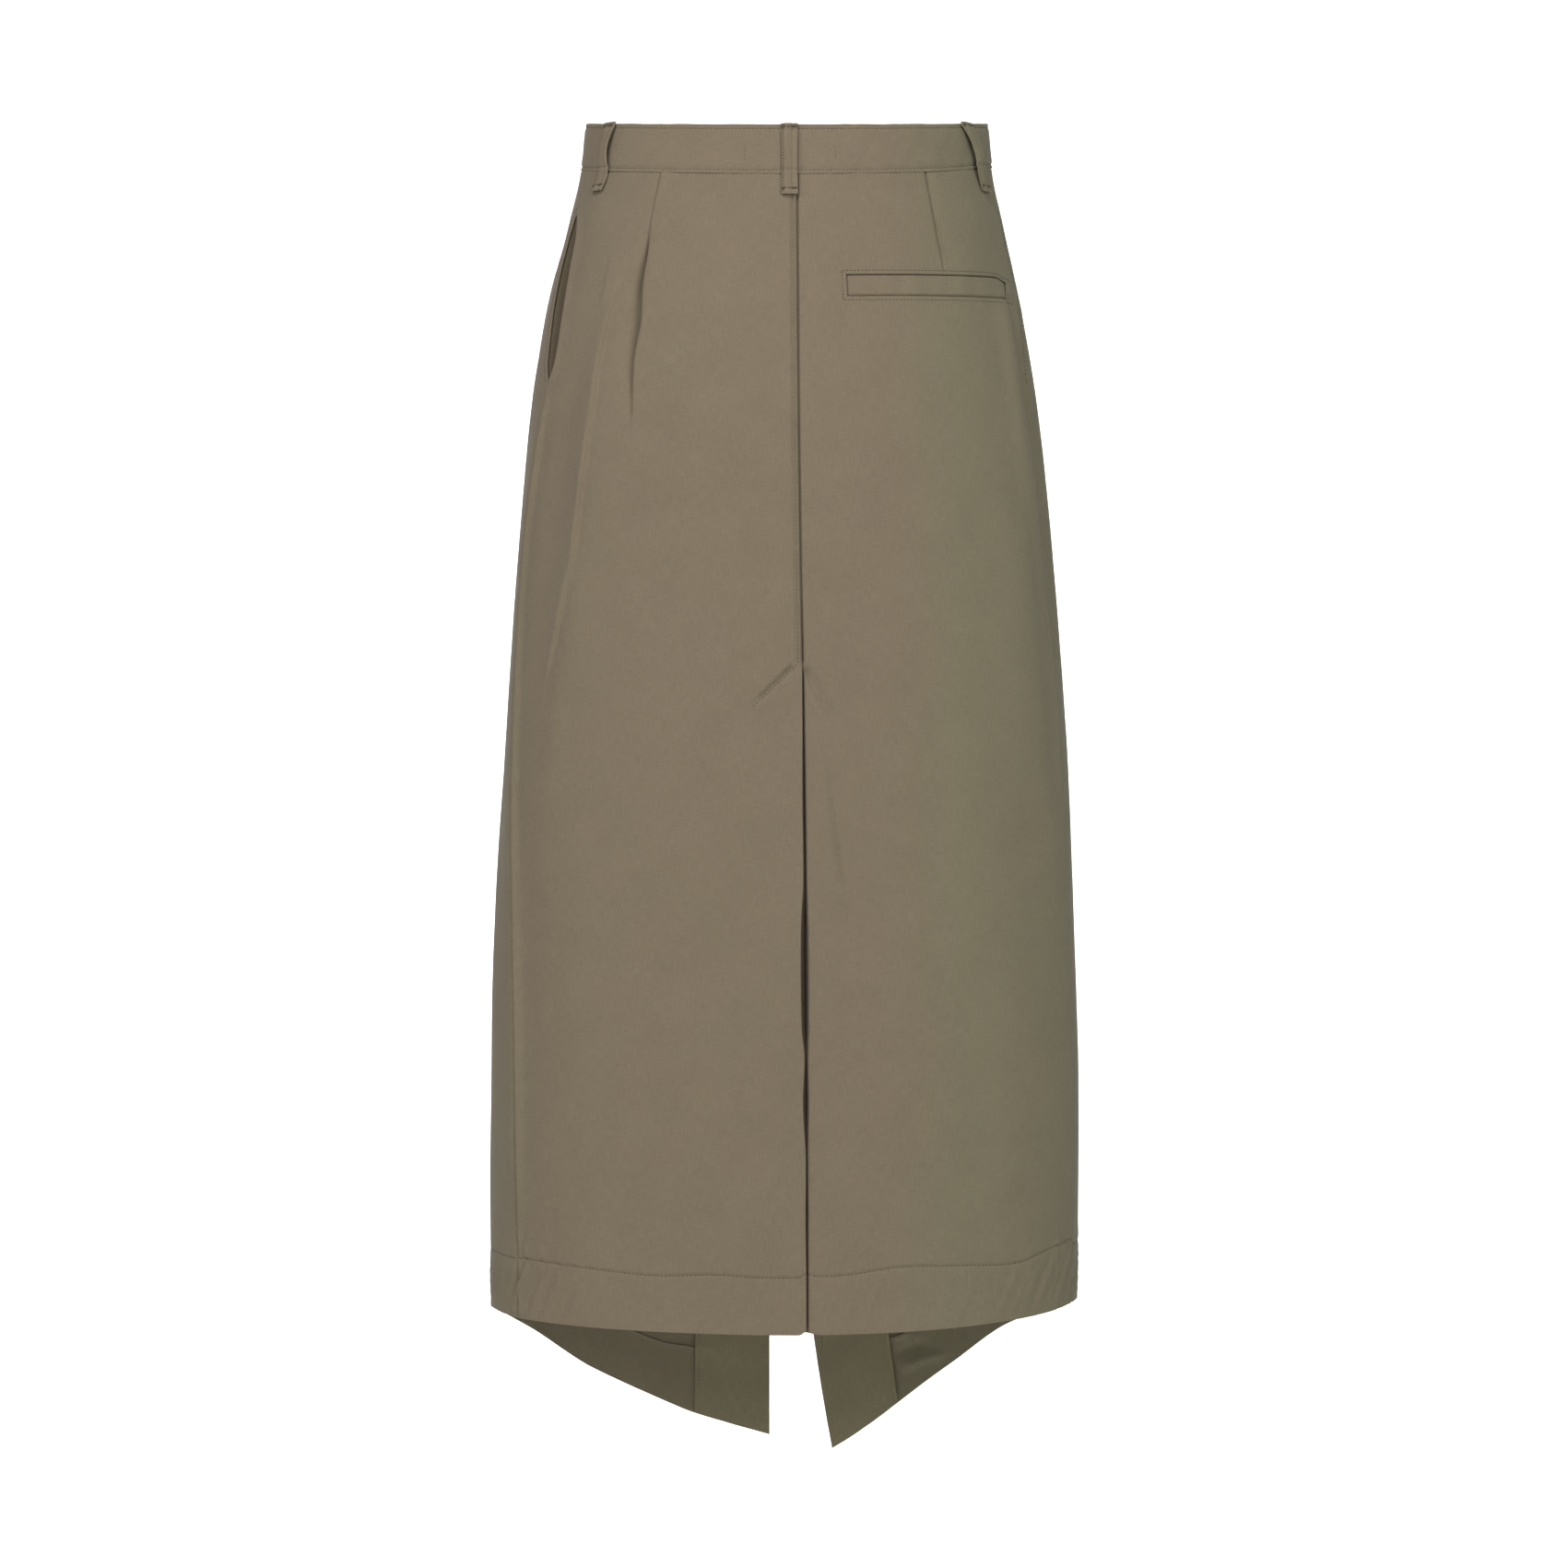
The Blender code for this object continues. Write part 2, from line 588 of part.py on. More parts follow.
def make_button():
    """The waistband's button, a turned disc with a raised rim, flat on the waistband's upper end."""
    top = BUTTON_THICKNESS
    dish = top - BUTTON_DISH
    round_off = BUTTON_RIM / 3
    profile = [
        (0.0, 0.0),
        (BUTTON_RADIUS - round_off, 0.0),
        (BUTTON_RADIUS, round_off),
        (BUTTON_RADIUS, top - round_off),
        (BUTTON_RADIUS - round_off, top),
        (BUTTON_RADIUS - BUTTON_RIM, top),
        (BUTTON_RADIUS - BUTTON_RIM - round_off, dish),
        (0.0, dish),
    ]
    mesh_builder = bmesh.new()
    verts = [mesh_builder.verts.new((radius, 0.0, height)) for radius, height in profile]
    edges = [mesh_builder.edges.new(pair) for pair in zip(verts, verts[1:])]
    bmesh.ops.spin(
        mesh_builder,
        geom=verts + edges,
        cent=(0.0, 0.0, 0.0),
        axis=(0.0, 0.0, 1.0),
        angle=math.tau,
        steps=BUTTON_SIDES,
        use_merge=True,
    )
    bmesh.ops.remove_doubles(mesh_builder, verts=mesh_builder.verts, dist=1e-6)
    bmesh.ops.recalc_face_normals(mesh_builder, faces=mesh_builder.faces)
    button = new_object("waistband_button", mesh_builder, HORN, 0.35)
    bearing = bearing_at(CENTRE_FRONT + BUTTON_OFFSET, 0.0, front=True)
    lift = band_lift(0.0) + SEAM_GAP
    reach = BUTTON_RADIUS
    up = skin(Spot(bearing, reach, lift)) - skin(Spot(bearing, -reach, lift))
    turn = degrees_for(reach, bearing, 0.0)
    round_the_waist = skin(Spot(bearing + turn, 0.0, lift)) - skin(Spot(bearing - turn, 0.0, lift))
    outwards = up.cross(round_the_waist)
    turned = outwards.to_track_quat("Z", "Y").to_matrix().to_4x4()
    button.matrix_world = Matrix.Translation(skin(Spot(bearing, 0.0, lift))) @ turned


def make_trim():
    cloth_solid("waistband", waistband_rows(), BAND_CLOTH, KHAKI)
    for name, loop in BELT_LOOPS.items():
        cloth_solid(name, belt_loop_rows(loop), LOOP_CLOTH, KHAKI)
    cloth_solid("back_pocket_welt", welt_rows(), FACING_CLOTH, KHAKI)
    make_button()


def clear_scene():
    for old in list(bpy.data.objects):
        bpy.data.objects.remove(old, do_unlink=True)


clear_scene()
make_panels()
make_facings()
make_trim()
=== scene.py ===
"""Looks of the cargo utility skirt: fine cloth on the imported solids' own surface, seams, stitches and light.

Frame as in the part: metres, +Z up, the wearer faces -Y and the wearer's left is +X. A place on the skirt is
a bearing round the body (0 at the centre back, +90 at the wearer's left, 180 at the centre front), a height,
and a lift off the skirt's own surface. Everything below works on whole numpy grids of such places. A side is
+1 for the wearer's left and -1 for the wearer's right. A share runs from 0 to 1, on a panel from its side seam.
"""

import math
from collections import namedtuple

import bpy
import numpy as np
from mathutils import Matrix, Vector


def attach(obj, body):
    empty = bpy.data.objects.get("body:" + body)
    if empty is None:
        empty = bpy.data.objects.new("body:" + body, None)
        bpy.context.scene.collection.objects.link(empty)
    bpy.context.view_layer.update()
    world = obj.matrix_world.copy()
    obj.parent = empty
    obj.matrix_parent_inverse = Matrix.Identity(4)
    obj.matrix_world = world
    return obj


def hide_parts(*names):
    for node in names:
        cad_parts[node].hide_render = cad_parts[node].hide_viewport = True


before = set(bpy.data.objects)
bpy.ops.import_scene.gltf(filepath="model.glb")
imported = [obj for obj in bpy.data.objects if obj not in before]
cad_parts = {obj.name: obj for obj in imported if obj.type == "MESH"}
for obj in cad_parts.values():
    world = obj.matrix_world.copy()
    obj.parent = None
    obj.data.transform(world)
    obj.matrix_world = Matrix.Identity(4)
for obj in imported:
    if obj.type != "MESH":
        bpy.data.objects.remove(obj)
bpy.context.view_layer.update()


def table(kind, plain, *rows):
    """Rows of a kind. Lengths are written in millimetres, and the columns named as plain aren't lengths."""
    return tuple(
        kind(*(part if name in plain.split() else round(part / 1000, 7) for name, part in zip(kind._fields, row)))
        for row in rows
    )


# ------------------------------------------------------------------ sizes, in metres, as in the part
BAND_HEIGHT = 0.0326
BAND_TOP = BAND_HEIGHT / 2
WAIST_TILT = 0.145
TILT_EASE = 0.010
CENTRE_FRONT = -0.003
FLY_BOTTOM = -0.185
SLIT_TOP = -0.550
SLIT_TIP = -0.9083
SLIT_LEFT_OPEN = 0.0148
SLIT_LEFT_STRAIGHT = 0.78
SLIT_RIGHT_OPEN = 0.0292
SLIT_RIGHT_CURVE = 2.3
VENT_TOP = -0.3562
UNDERLAP_WIDTH = 0.030
FLY_UNDERLAP_WIDTH = 0.034
LAP_EASE = 0.046
LAP_FADE = 0.060
BACK_HEM = -0.7967
SIDE_HEM = {+1: -0.7915, -1: -0.7840}
HEM_ROUNDING = 2.4
POCKET_MOUTH_TOP = -0.046
POCKET_MOUTH_BOTTOM = -0.162
WELT_INNER_HEIGHT, WELT_OUTER_HEIGHT = -0.1058, -0.1009
WELT_WIDTH = 0.0148
LOOP_WIDTH = 0.0112
BAND_OVERLAP = 0.004
BAND_UNDERLAP = 0.036
BAND_LAP_EASE = 0.026
BUTTON_RADIUS = 0.0085
BUTTON_OFFSET = -0.013
SLIT_FACING = {+1: 0.212, -1: 0.238}    # shares of the front panels, about 52 and 58 mm
BACK_WIDTH, FRONT_WIDTH = 0.215, 0.262  # of a panel, about
FACING_RUN = 0.245                      # of a front panel where its facing is
FRONT_RADIUS, MEAN_RADIUS = 0.098, 0.124    # of the waistband
WINDOW_INNER, WINDOW_OUTER = 0.787, 0.062   # the window's ends, as shares of the right back panel
WINDOW_ENDS = ((0.055, 0.085), (0.789, 0.787))    # the outer and inner one, each at its top and bottom
WINDOW_RUN = 0.17                       # along the welt, for a whole panel's share
FLY_WIDTH, FLY_CURVE = 0.033, 0.038     # of the fly's stitching
MOUTH_OPEN = 0.0003                     # from here on a pocket's mouth has free edges
WAIST_BOW, BAND_BOW = 0.0016, 0.0012    # of the waist seam and the waistband's top at the centre back
RIGHT_RISE = 0.0023                     # of the waist seam at the wearer's right
LONG_FOLD_TOP = {+1: -0.155, -1: -0.186}    # where the long folds at the side seams start
LEFT_LONG_FOLD = {True: (0.0026, 0.030), False: (0.0026, 0.007)}    # lift and width, in front and behind
RIGHT_LONG_FOLD = (0.0022, 0.016, 0.0020, 0.024, 0.0042)            # low, run, high, back and rise
SIDE_DITCH = 0.0018                     # in the front beside its side seam
TOPSTITCH_RIDGE, TOPSTITCH_DITCH = 0.0009, 0.0014
STITCH_DIP = 0.00022                    # under a row of stitches
NEAR_SIDE = 0.090                       # the hem cockles more this near the side seam
HEM_PULL = {True: 0.00020, False: 0.00050}    # of the hem's stitching, in front and behind

# The visible cloth is thinner than the solids that stand for it.
CLOTH = 0.0010
FACING_CLOTH = 0.0008
LOOP_CLOTH = 0.0021
BAND_CLOTH = 0.0022
BAND_PROUD = 0.0005
LAP_LIFT = 0.0019
BAND_LAP_LIFT = 0.0027
PIECE_GAP = 0.00012                     # between two pieces at a seam
SEAM_TUCK = 0.0012                      # of the front under the back at the side seam
BAND_TUCK = 0.0018                      # of the panels into the waistband
SEAM_DIP, SEAM_ROLL = 0.0022, 0.0008    # the ditch there
UNDERLAP_DROP = 0.0026                  # the vent's underlap lies this far below
EDGE_ROUND = 0.0005                     # a folded edge
TOPSTITCH = 0.0027                      # from the centre back seam
SLIT_STITCH = 0.0055                    # from the slit's edge
BAND_STITCH_TOP, BAND_STITCH_BOTTOM = 0.0030, 0.0025
PITCH, THREAD, FINE_THREAD = 0.0028, 0.00044, 0.0004    # of the stitching
STITCH_SHARE = 0.74                     # of the pitch that a stitch covers
PHOTO_WIDTH, PHOTO_SCALE, CAMERA_AWAY = 1701, 1587, 3.1    # pixels, pixels to the metre, metres

Section = namedtuple("Section", "height half_left half_right depth_back depth_front seam_left seam_right power")
SECTIONS = table(
    Section, "seam_left seam_right power",
    (16, 136.1, 137.2, 96.2, 96, 79.5, 79.5, 2.15),
    (-16, 139.8, 140.2, 98.8, 98, 78.5, 79, 2.15),
    (-55, 149, 148.6, 106, 103.5, 76, 78, 2.2),
    (-118, 164.3, 162, 118, 109, 72, 77, 2.25),
    (-181, 174.4, 172, 125, 112.5, 71, 76.5, 2.3),
    (-276, 182.8, 182, 126.2, 116, 75.5, 76.5, 2.3),
    (-402, 191.6, 191.3, 123.5, 119.5, 75, 76.5, 2.35),
    (-528, 199.1, 196.6, 120.8, 122.5, 71.5, 77, 2.4),
    (-654, 201.7, 199.6, 119.2, 125, 70, 78, 2.4),
    (-795, 201.4, 198, 118, 127.5, 70, 78, 2.4),
    (-920, 200, 196, 117.2, 129, 70, 78, 2.4),
)
AtHeight = namedtuple("AtHeight", "height value")
AtShare = namedtuple("AtShare", "share value")
BACK_LINE = table(
    AtHeight, "", (-20, -6.9), (-200, -8.1), (-356.2, -10.3), (-528, -12.2), (-800, -13.4),
)
HEM_DROP = {
    +1: table(
        AtShare, "share", (0, 0), (0.13, -2.5), (0.26, 4), (0.4, 22.8), (0.55, 55.4), (0.75, 85.6), (0.88, 98),
        (1, 107),
    ),
    -1: table(
        AtShare, "share", (0, 0), (0.12, 0.8), (0.28, 12.5), (0.45, 29.8), (0.6, 59.5), (0.8, 96), (0.92, 114.4),
        (1, 124.3),
    ),
}
# How deep the hem is turned up, along each panel from its side seam.
HEM_TURN_FRONT = table(
    AtShare, "share", (0, 39.5), (0.6, 39.5), (0.7, 40.9), (0.79, 46.6), (1, 46.6),
)
HEM_TURN_BACK = {
    +1: table(
        AtShare, "share", (0, 40.5), (0.08, 40.5), (0.22, 39.2), (0.42, 37.2), (0.62, 39.2), (0.82, 37.8), (1, 38),
    ),
    -1: table(
        AtShare, "share", (0, 44), (0.12, 42.7), (0.24, 37.8), (0.42, 41), (0.62, 43.2), (0.84, 39.2), (1, 38.4),
    ),
}

# How far the vent's upper edge is drawn back from the centre back.
VENT_GAPE = table(
    AtHeight, "", (-356.2, 0), (-400, 0.3), (-440, 0.8), (-500, 0.9), (-524, 2.4), (-560, 2.9), (-596, 2.4),
    (-614, 0.8), (-645, 1.9), (-680, 0.2), (-720, 0.5), (-760, 0.2), (-800, 0.3),
)

# How far the left pocket's mouth stands open on either side of the side seam. The right one lies shut.
Mouth = namedtuple("Mouth", "height back front")
LEFT_MOUTH = table(
    Mouth, "", (-46, 0, 0), (-56, 5.2, 4), (-67, 7.7, 7.8), (-85, 7.4, 10.8), (-110, 7.3, 11.5), (-128, 7.1, 9.2),
    (-142, 6.8, 7.8), (-153, 5.4, 6), (-161, 2.4, 1.8), (-165, 0, 0),
)

# The part's own folds: soft ridges (lift above zero) and troughs, through three bearings, as wide as given on
# the side nearer the centre back and on the other, rising and falling over those shares of their length.
Fold = namedtuple("Fold", "top bottom bearing_top bearing_mid bearing_bottom lift inner outer rise fall")
FOLDS = table(
    Fold, "bearing_top bearing_mid bearing_bottom rise fall",
    (-85, -470, 51.5, 56, 65, 2.4, 20, 11, 0.3, 0.45),  # left drape ridge
    (-110, -430, 58, 64, 69, -1.8, 12, 14, 0.35, 0.45),  # left drape trough
    (-20, -185, 41, 42, 41, 2, 26, 4, 0.6, 0.35),  # left dart fold
    (-60, -170, 45.5, 46, 45, -1.4, 5, 14, 0.5, 0.4),  # left dart trough
    (-18, -94, -49.5, -50, -51.5, -0.8, 4, 4, 0.1, 0.3),  # right dart
    (-125, -560, -64, -66, -73, 3, 30, 10, 0.25, 0.5),  # right side ridge
    (-115, -420, -73, -76, -82, -5.4, 9, 20, 0.3, 0.5),  # right side trough
    (-105, -430, -73.5, -75, -80.5, -3.2, 8, 15, 0.14, 0.5),  # right flank
    (-420, -720, 1, 1, 1, 1.6, 12, 20, 0.4, 0.4),  # vent stand
    (-340, -540, -9, -17, -24, 1.6, 12, 12, 0.2, 0.6),  # vent pull
    (-120, -520, 126, 124, 122, 3.4, 22, 16, 0.35, 0.45),  # left front ridge
    (-140, -480, 138, 137, 136, -2.8, 18, 18, 0.35, 0.45),  # left front trough
    (-100, -470, -128, -126, -121, 3.2, 20, 18, 0.35, 0.45),  # right front ridge
    (-130, -520, -140, -139, -136, -2.8, 18, 20, 0.35, 0.45),  # right front trough
    (-600, -1000, 172, 171, 170, 6, 40, 40, 0.8, 0.05),  # left slit kick
    (-580, -1000, -170, -168, -164, 8, 40, 50, 0.8, 0.05),  # right slit kick
)

# Finer creases. Each runs down one panel through three places, given as how far they are along the cloth from
# the centre back seam or the centre front, and how high. It is a ridge where its lift is above zero and a
# trough below it, as wide as given towards the centre and towards the side, and fades at its ends.
Crease = namedtuple("Crease", "out_top top out_mid mid out_bottom bottom lift inner outer rise fall")
BACK_LEFT_CREASES = table(
    Crease, "rise fall",
    (129, -80, 133, -100, 138.5, -124, 0.9, 5, 1.8, 0.3, 0.4),
    (24.5, -116, 19.3, -127, 14.5, -138, -0.9, 6, 2, 0.3, 0.4),
    (28.5, -90, 27, -108, 23.5, -122, -0.5, 5, 3, 0.4, 0.4),
    (4, -355, 18, -369, 34, -384, -2.4, 1.2, 1.8, 0.15, 0.25),
    (7.5, -362, 19.5, -374, 33, -388, 0.6, 5, 3, 0.2, 0.3),
    (39, -343, 44.5, -368, 38.5, -396, -1, 7, 4.5, 0.3, 0.4),
    (22, -338, 33, -345, 42, -356, 0.7, 4, 6, 0.4, 0.4),
    (6, -344, 7.5, -349, 9, -354, -0.3, 2, 2, 0.3, 0.4),
    (190, -450, 193, -560, 193.5, -680, -1, 12, 11, 0.4, 0.4),
    (148, -420, 154, -540, 156, -690, 0.7, 16, 18, 0.4, 0.4),
    (93, -240, 96, -330, 100, -440, -0.6, 14, 16, 0.4, 0.5),
    (198, -722, 201, -742, 206, -756, -1, 3, 3, 0.5, 0.3),
    (174, -706, 174.5, -730, 173.5, -752, -0.3, 3, 3, 0.5, 0.3),
)
BACK_RIGHT_CREASES = table(
    Crease, "rise fall",
    (154.5, -98, 167, -205, 190, -340, 3.8, 9, 11, 0.14, 0.4),
    (162.5, -104, 168, -140, 176, -200, -2.2, 3, 9, 0.12, 0.5),
    (1.7, -357, 12, -379, 32, -408, -2.2, 2, 4.5, 0.12, 0.4),
    (4, -397, 8.5, -401, 13.2, -403, -0.9, 1.8, 3, 0.3, 0.4),
    (16, -402, 23.5, -468, 34.5, -548, -2.6, 4, 7.5, 0.3, 0.4),
    (8, -420, 11, -470, 15, -540, 0.5, 6, 7, 0.4, 0.5),
    (8.8, -92, 4.5, -112, 1.2, -134, -0.8, 5, 2, 0.3, 0.4),
    (30, -118, 31.5, -128, 34, -142, -0.6, 3, 4, 0.3, 0.5),
    (162, -106, 164, -124, 168, -142, -0.6, 1.6, 3, 0.2, 0.5),
    (104, -380, 112, -480, 115, -610, 0.6, 18, 20, 0.4, 0.4),
    (150, -360, 162, -470, 168, -620, -0.8, 16, 16, 0.4, 0.4),
    (188, -420, 193, -520, 195, -660, 0.8, 12, 8, 0.4, 0.4),
    (190, -722, 196, -738, 203, -746, -0.5, 3, 3, 0.4, 0.4),
)
# Folds let go from the left dart: cloth that sinks towards each line from the side by the first depth over the
# first run, and stands beyond it by the second lift over the second run. Below zero it rises and then drops.
FoldLine = namedtuple("FoldLine", "out_top top out_mid mid out_bottom bottom low run high back rise fall")
BACK_LEFT_FOLDS = table(
    FoldLine, "rise fall",
    (118, -84, 135, -140, 143, -205, -2.4, 11, -1.5, 8, 0.45, 0.3),
    (140, -170, 151, -240, 163, -312, -2.7, 12, -1.7, 8, 0.3, 0.35),
    (159, -280, 171, -325, 189, -385, -2.4, 12, -1.4, 8, 0.4, 0.5),
)
FRONT_LEFT_CREASES = table(
    Crease, "rise fall",
    (242, -150, 239, -172, 236, -200, -1.2, 4, 3, 0.2, 0.5),
    (248, -168, 250, -200, 253, -240, -0.9, 3, 3, 0.2, 0.5),
    (233, -60, 226, -130, 229, -210, 1, 10, 6, 0.3, 0.5),
    (78, -30, 93, -110, 98, -230, 0.9, 10, 6, 0.3, 0.5),
    (20, -190, 34, -250, 56, -320, -0.7, 4, 7, 0.2, 0.6),
    (6, -555, 16, -590, 34, -640, -0.8, 4, 7, 0.15, 0.6),
    (148, -360, 154, -480, 156, -620, 0.8, 17, 19, 0.4, 0.4),
    (66, -822, 59, -826, 50, -829, 0.6, 1.6, 2, 0.3, 0.2),
)
FRONT_RIGHT_CREASES = table(
    Crease, "rise fall",
    (230, -110, 226, -170, 229, -250, -1, 6, 5, 0.3, 0.5),
    (205, -60, 202, -130, 204, -220, 1, 10, 6, 0.3, 0.5),
    (82, -30, 96, -120, 99, -250, 1, 10, 6, 0.3, 0.5),
    (12, -195, 28, -262, 50, -330, -0.8, 4, 7, 0.2, 0.6),
    (5, -556, 18, -600, 40, -660, -0.9, 4, 7, 0.15, 0.6),
    (150, -330, 158, -450, 160, -600, 0.8, 17, 19, 0.4, 0.4),
    (58, -851, 78, -842, 100, -838, -1.8, 2.2, 3.2, 0.2, 0.3),
    (56, -842, 70, -834, 86, -831, 1.4, 2, 2.8, 0.2, 0.3),
    (56, -830, 64, -826, 74, -824, -1.2, 1.8, 2.2, 0.2, 0.3),
)

# Belt loops, from where each turns over the waistband down to its bar tack. The sway is a sideways wave, over
# is how far the loop stands above the waistband and below is how far it reaches under the waist seam.
BeltLoop = namedtuple("BeltLoop", "bearing_top bearing_bottom slack peak twist sway over below")
LOOP_NAMES = [f"belt_loop_{place}" for place in ("back", "left", "right", "front_left", "front_right")]
BELT_LOOPS = dict(zip(LOOP_NAMES, table(
    BeltLoop, "bearing_top bearing_bottom peak",
    (-1.2, -1.2, 0.5, 0.39, 0, 0, 0.3, 14),
    (65.2, 66.8, 1.8, 0.39, 1.1, 2, 0.7, 13),
    (-66.2, -72.4, 3.8, 0.48, -0.6, 1.3, 0.7, 13.8),
    (143, 143.5, 1.2, 0.39, 0.4, 0.4, 0.4, 14),
    (-143, -143.5, 1.2, 0.39, -0.4, -0.4, 0.4, 14),
)))

LOOP_RIBS, LOOP_ROWS = (0.50, 0.22, -0.08), (0.80, -0.36)    # across a loop, from its middle

# Darts are sewn lines in the back panels: the share of the panel from its side seam, at each height.
DART = {
    +1: table(
        AtHeight, "value", (-20, 0.411), (-52, 0.388), (-82, 0.373), (-105, 0.364), (-128, 0.371), (-152, 0.358),
        (-190, 0.366), (-300, 0.38), (-800, 0.4),
    ),
    -1: table(
        AtHeight, "value", (-20, 0.392), (-56, 0.385), (-95, 0.381), (-300, 0.39), (-800, 0.4),
    ),
}
DART_END = {+1: -0.115, -1: -0.098}
DART_FOLD = 0.0082


# ------------------------------------------------------------------ numbers between the rows of a table
def column_at(rows, column, places):
    """One column of a table at many places, on the same smooth curve as the part's."""
    marks = np.array([row[0] for row in rows], float)
    values = np.array([getattr(row, column) for row in rows], float)
    if marks[-1] < marks[0]:
        marks, values = marks[::-1], values[::-1]
    slopes = np.empty(len(marks))
    slopes[1:-1] = (values[2:] - values[:-2]) / (marks[2:] - marks[:-2])
    slopes[0] = (values[1] - values[0]) / (marks[1] - marks[0])
    slopes[-1] = (values[-1] - values[-2]) / (marks[-1] - marks[-2])
    step = np.clip(np.searchsorted(marks, places, side="right") - 1, 0, len(marks) - 2)
    span = marks[step + 1] - marks[step]
    share = np.clip((places - marks[step]) / span, 0, 1)
    square, cube = share**2, share**3
    return (
        (2 * cube - 3 * square + 1) * values[step]
        + (cube - 2 * square + share) * slopes[step] * span
        + (3 * square - 2 * cube) * values[step + 1]
        + (cube - square) * slopes[step + 1] * span
    )


def value_at(rows, places):
    return column_at(rows, "value", places)


def section_at(column, height):
    return column_at(SECTIONS, column, height)


def ease(share):
    share = np.clip(share, 0, 1)
    return share * share * (3 - 2 * share)


def blend(start, end, share):
    return start + (end - start) * share


def unit(vectors):
    return vectors / np.linalg.norm(vectors, axis=-1, keepdims=True)


def mound(distance, width):
    return np.exp(-((distance / width) ** 2))


def wander(distance, seed, *waves):
    """A sum of slow waves along a length, for the unevenness of sewing. Each wave is (length, height)."""
    total = 0.0
    for number, (length, size) in enumerate(waves):
        total = total + size * np.sin(2 * np.pi * distance / length + seed * (number + 1) * 2.4)
    return total


# ------------------------------------------------------------------ the skirt's surface
def half_width(across, height):
    return np.where(across > 0, section_at("half_left", height), section_at("half_right", height))


def radius_at(bearing, height):
    angle = np.radians(bearing)
    across, along = np.sin(angle), np.cos(angle)
    half = half_width(across, height)
    depth = np.where(along > 0, section_at("depth_back", height), section_at("depth_front", height))
    power = section_at("power", height)
    return ((np.abs(across) / half) ** power + (np.abs(along) / depth) ** power) ** (-1 / power)


def plan(bearing, height):
    angle, radius = np.radians(bearing), radius_at(bearing, height)
    return np.stack([radius * np.sin(angle), radius * np.cos(angle)], -1)


def bearing_at(x, height, front=False):
    x, height = np.broadcast_arrays(np.asarray(x, float), np.asarray(height, float))
    depth, power = section_at("depth_front" if front else "depth_back", height), section_at("power", height)
    y = depth * (1 - (np.abs(x) / half_width(x, height)) ** power) ** (1 / power)
    return np.degrees(np.arctan2(x, -y if front else y))


def one_degree(bearing, height):
    return plan(bearing + 0.5, height) - plan(bearing - 0.5, height)


def degrees_for(length, bearing, height):
    """Degrees that take up a short length along the cloth."""
    return length / np.linalg.norm(one_degree(bearing, height), axis=-1)


def run_along(start, bearing, height, steps=12):
    """Length along the cloth from one bearing to another, at each height."""
    start, bearing, height = np.broadcast_arrays(start, bearing, height)
    points = [plan(blend(start, bearing, step / steps), height) for step in range(steps + 1)]
    return sum(np.linalg.norm(q - p, axis=-1) for p, q in zip(points, points[1:]))


def fold_lift(bearing, height):
    total = np.zeros(np.broadcast(bearing, height).shape)
    radius = radius_at(bearing, height)
    for fold in FOLDS:
        share = (fold.top - height) / (fold.top - fold.bottom)
        on = (share > 0) & (share < 1)
        share = np.clip(share, 0, 1)
        straight = blend(fold.bearing_top, fold.bearing_bottom, share)
        bow = fold.bearing_mid - (fold.bearing_top + fold.bearing_bottom) / 2
        centre = straight + 4 * bow * share * (1 - share)
        apart = (bearing - centre + 180) % 360 - 180
        width = np.where((apart > 0) == (centre > 0), fold.outer, fold.inner)
        across = mound(np.radians(apart) * radius, width)
        total += on * fold.lift * across * ease(share / fold.rise) * ease((1 - share) / fold.fall)
    return total


def skin(bearing, height, lift):
    """Points in space, one for each place."""
    bearing, height, lift = np.broadcast_arrays(bearing, height, lift)
    along = one_degree(bearing, height)
    outwards = unit(np.stack([-along[..., 1], along[..., 0]], -1))
    flat = plan(bearing, height) + outwards * (fold_lift(bearing, height) + lift)[..., None]
    return np.concatenate([flat, height[..., None]], -1)


def facing_line(bearing, height, lift):
    """Points on the cloth, and the way that it faces there."""
    points = skin(bearing, height, lift)
    return points, unit(skin(bearing, height, lift + 1e-3) - points)


def right_rise(bearing):
    """The waist seam rises at the wearer's right side, and the waistband's top edge doesn't."""
    return RIGHT_RISE * mound(bearing + 80, 20)


def backness(bearing):
    return np.maximum(np.cos(np.radians(bearing)), 0) ** 2


def waist_seam(bearing):
    """Height of the waist seam. It bows down a little at the centre back."""
    y = plan(bearing, np.full(np.shape(bearing), -BAND_TOP))[..., 1]
    tilt = WAIST_TILT * (y + np.hypot(y, TILT_EASE) - TILT_EASE) / 2
    return -BAND_TOP - tilt + 0.0009 - WAIST_BOW * backness(bearing) + right_rise(bearing)


def band_level(bearing, up):
    """Height on the waistband, up being 0 at the waist seam and BAND_HEIGHT at its top edge."""
    rise = BAND_BOW * backness(bearing) - 0.0003 - right_rise(bearing)
    return waist_seam(bearing) + up * (1 + rise / BAND_HEIGHT)


def centre_back(height):
    return bearing_at(value_at(BACK_LINE, height), height)


def side_seam(side, height):
    return side * section_at("seam_left" if side > 0 else "seam_right", height)


def slit_edge(side, height):
    depth = np.maximum(0.0, (SLIT_TOP - height) / (SLIT_TOP - SLIT_TIP))
    if side > 0:
        swing = SLIT_LEFT_OPEN * np.sin(np.radians(90) * np.minimum(1.0, depth / SLIT_LEFT_STRAIGHT))
        return bearing_at(CENTRE_FRONT + swing, height, front=True) % 360
    swing = -SLIT_RIGHT_OPEN * depth**SLIT_RIGHT_CURVE
    return -(-bearing_at(CENTRE_FRONT + swing, height, front=True) % 360)


def vent_gape(height):
    return np.where(height < VENT_TOP, value_at(VENT_GAPE, height), 0)


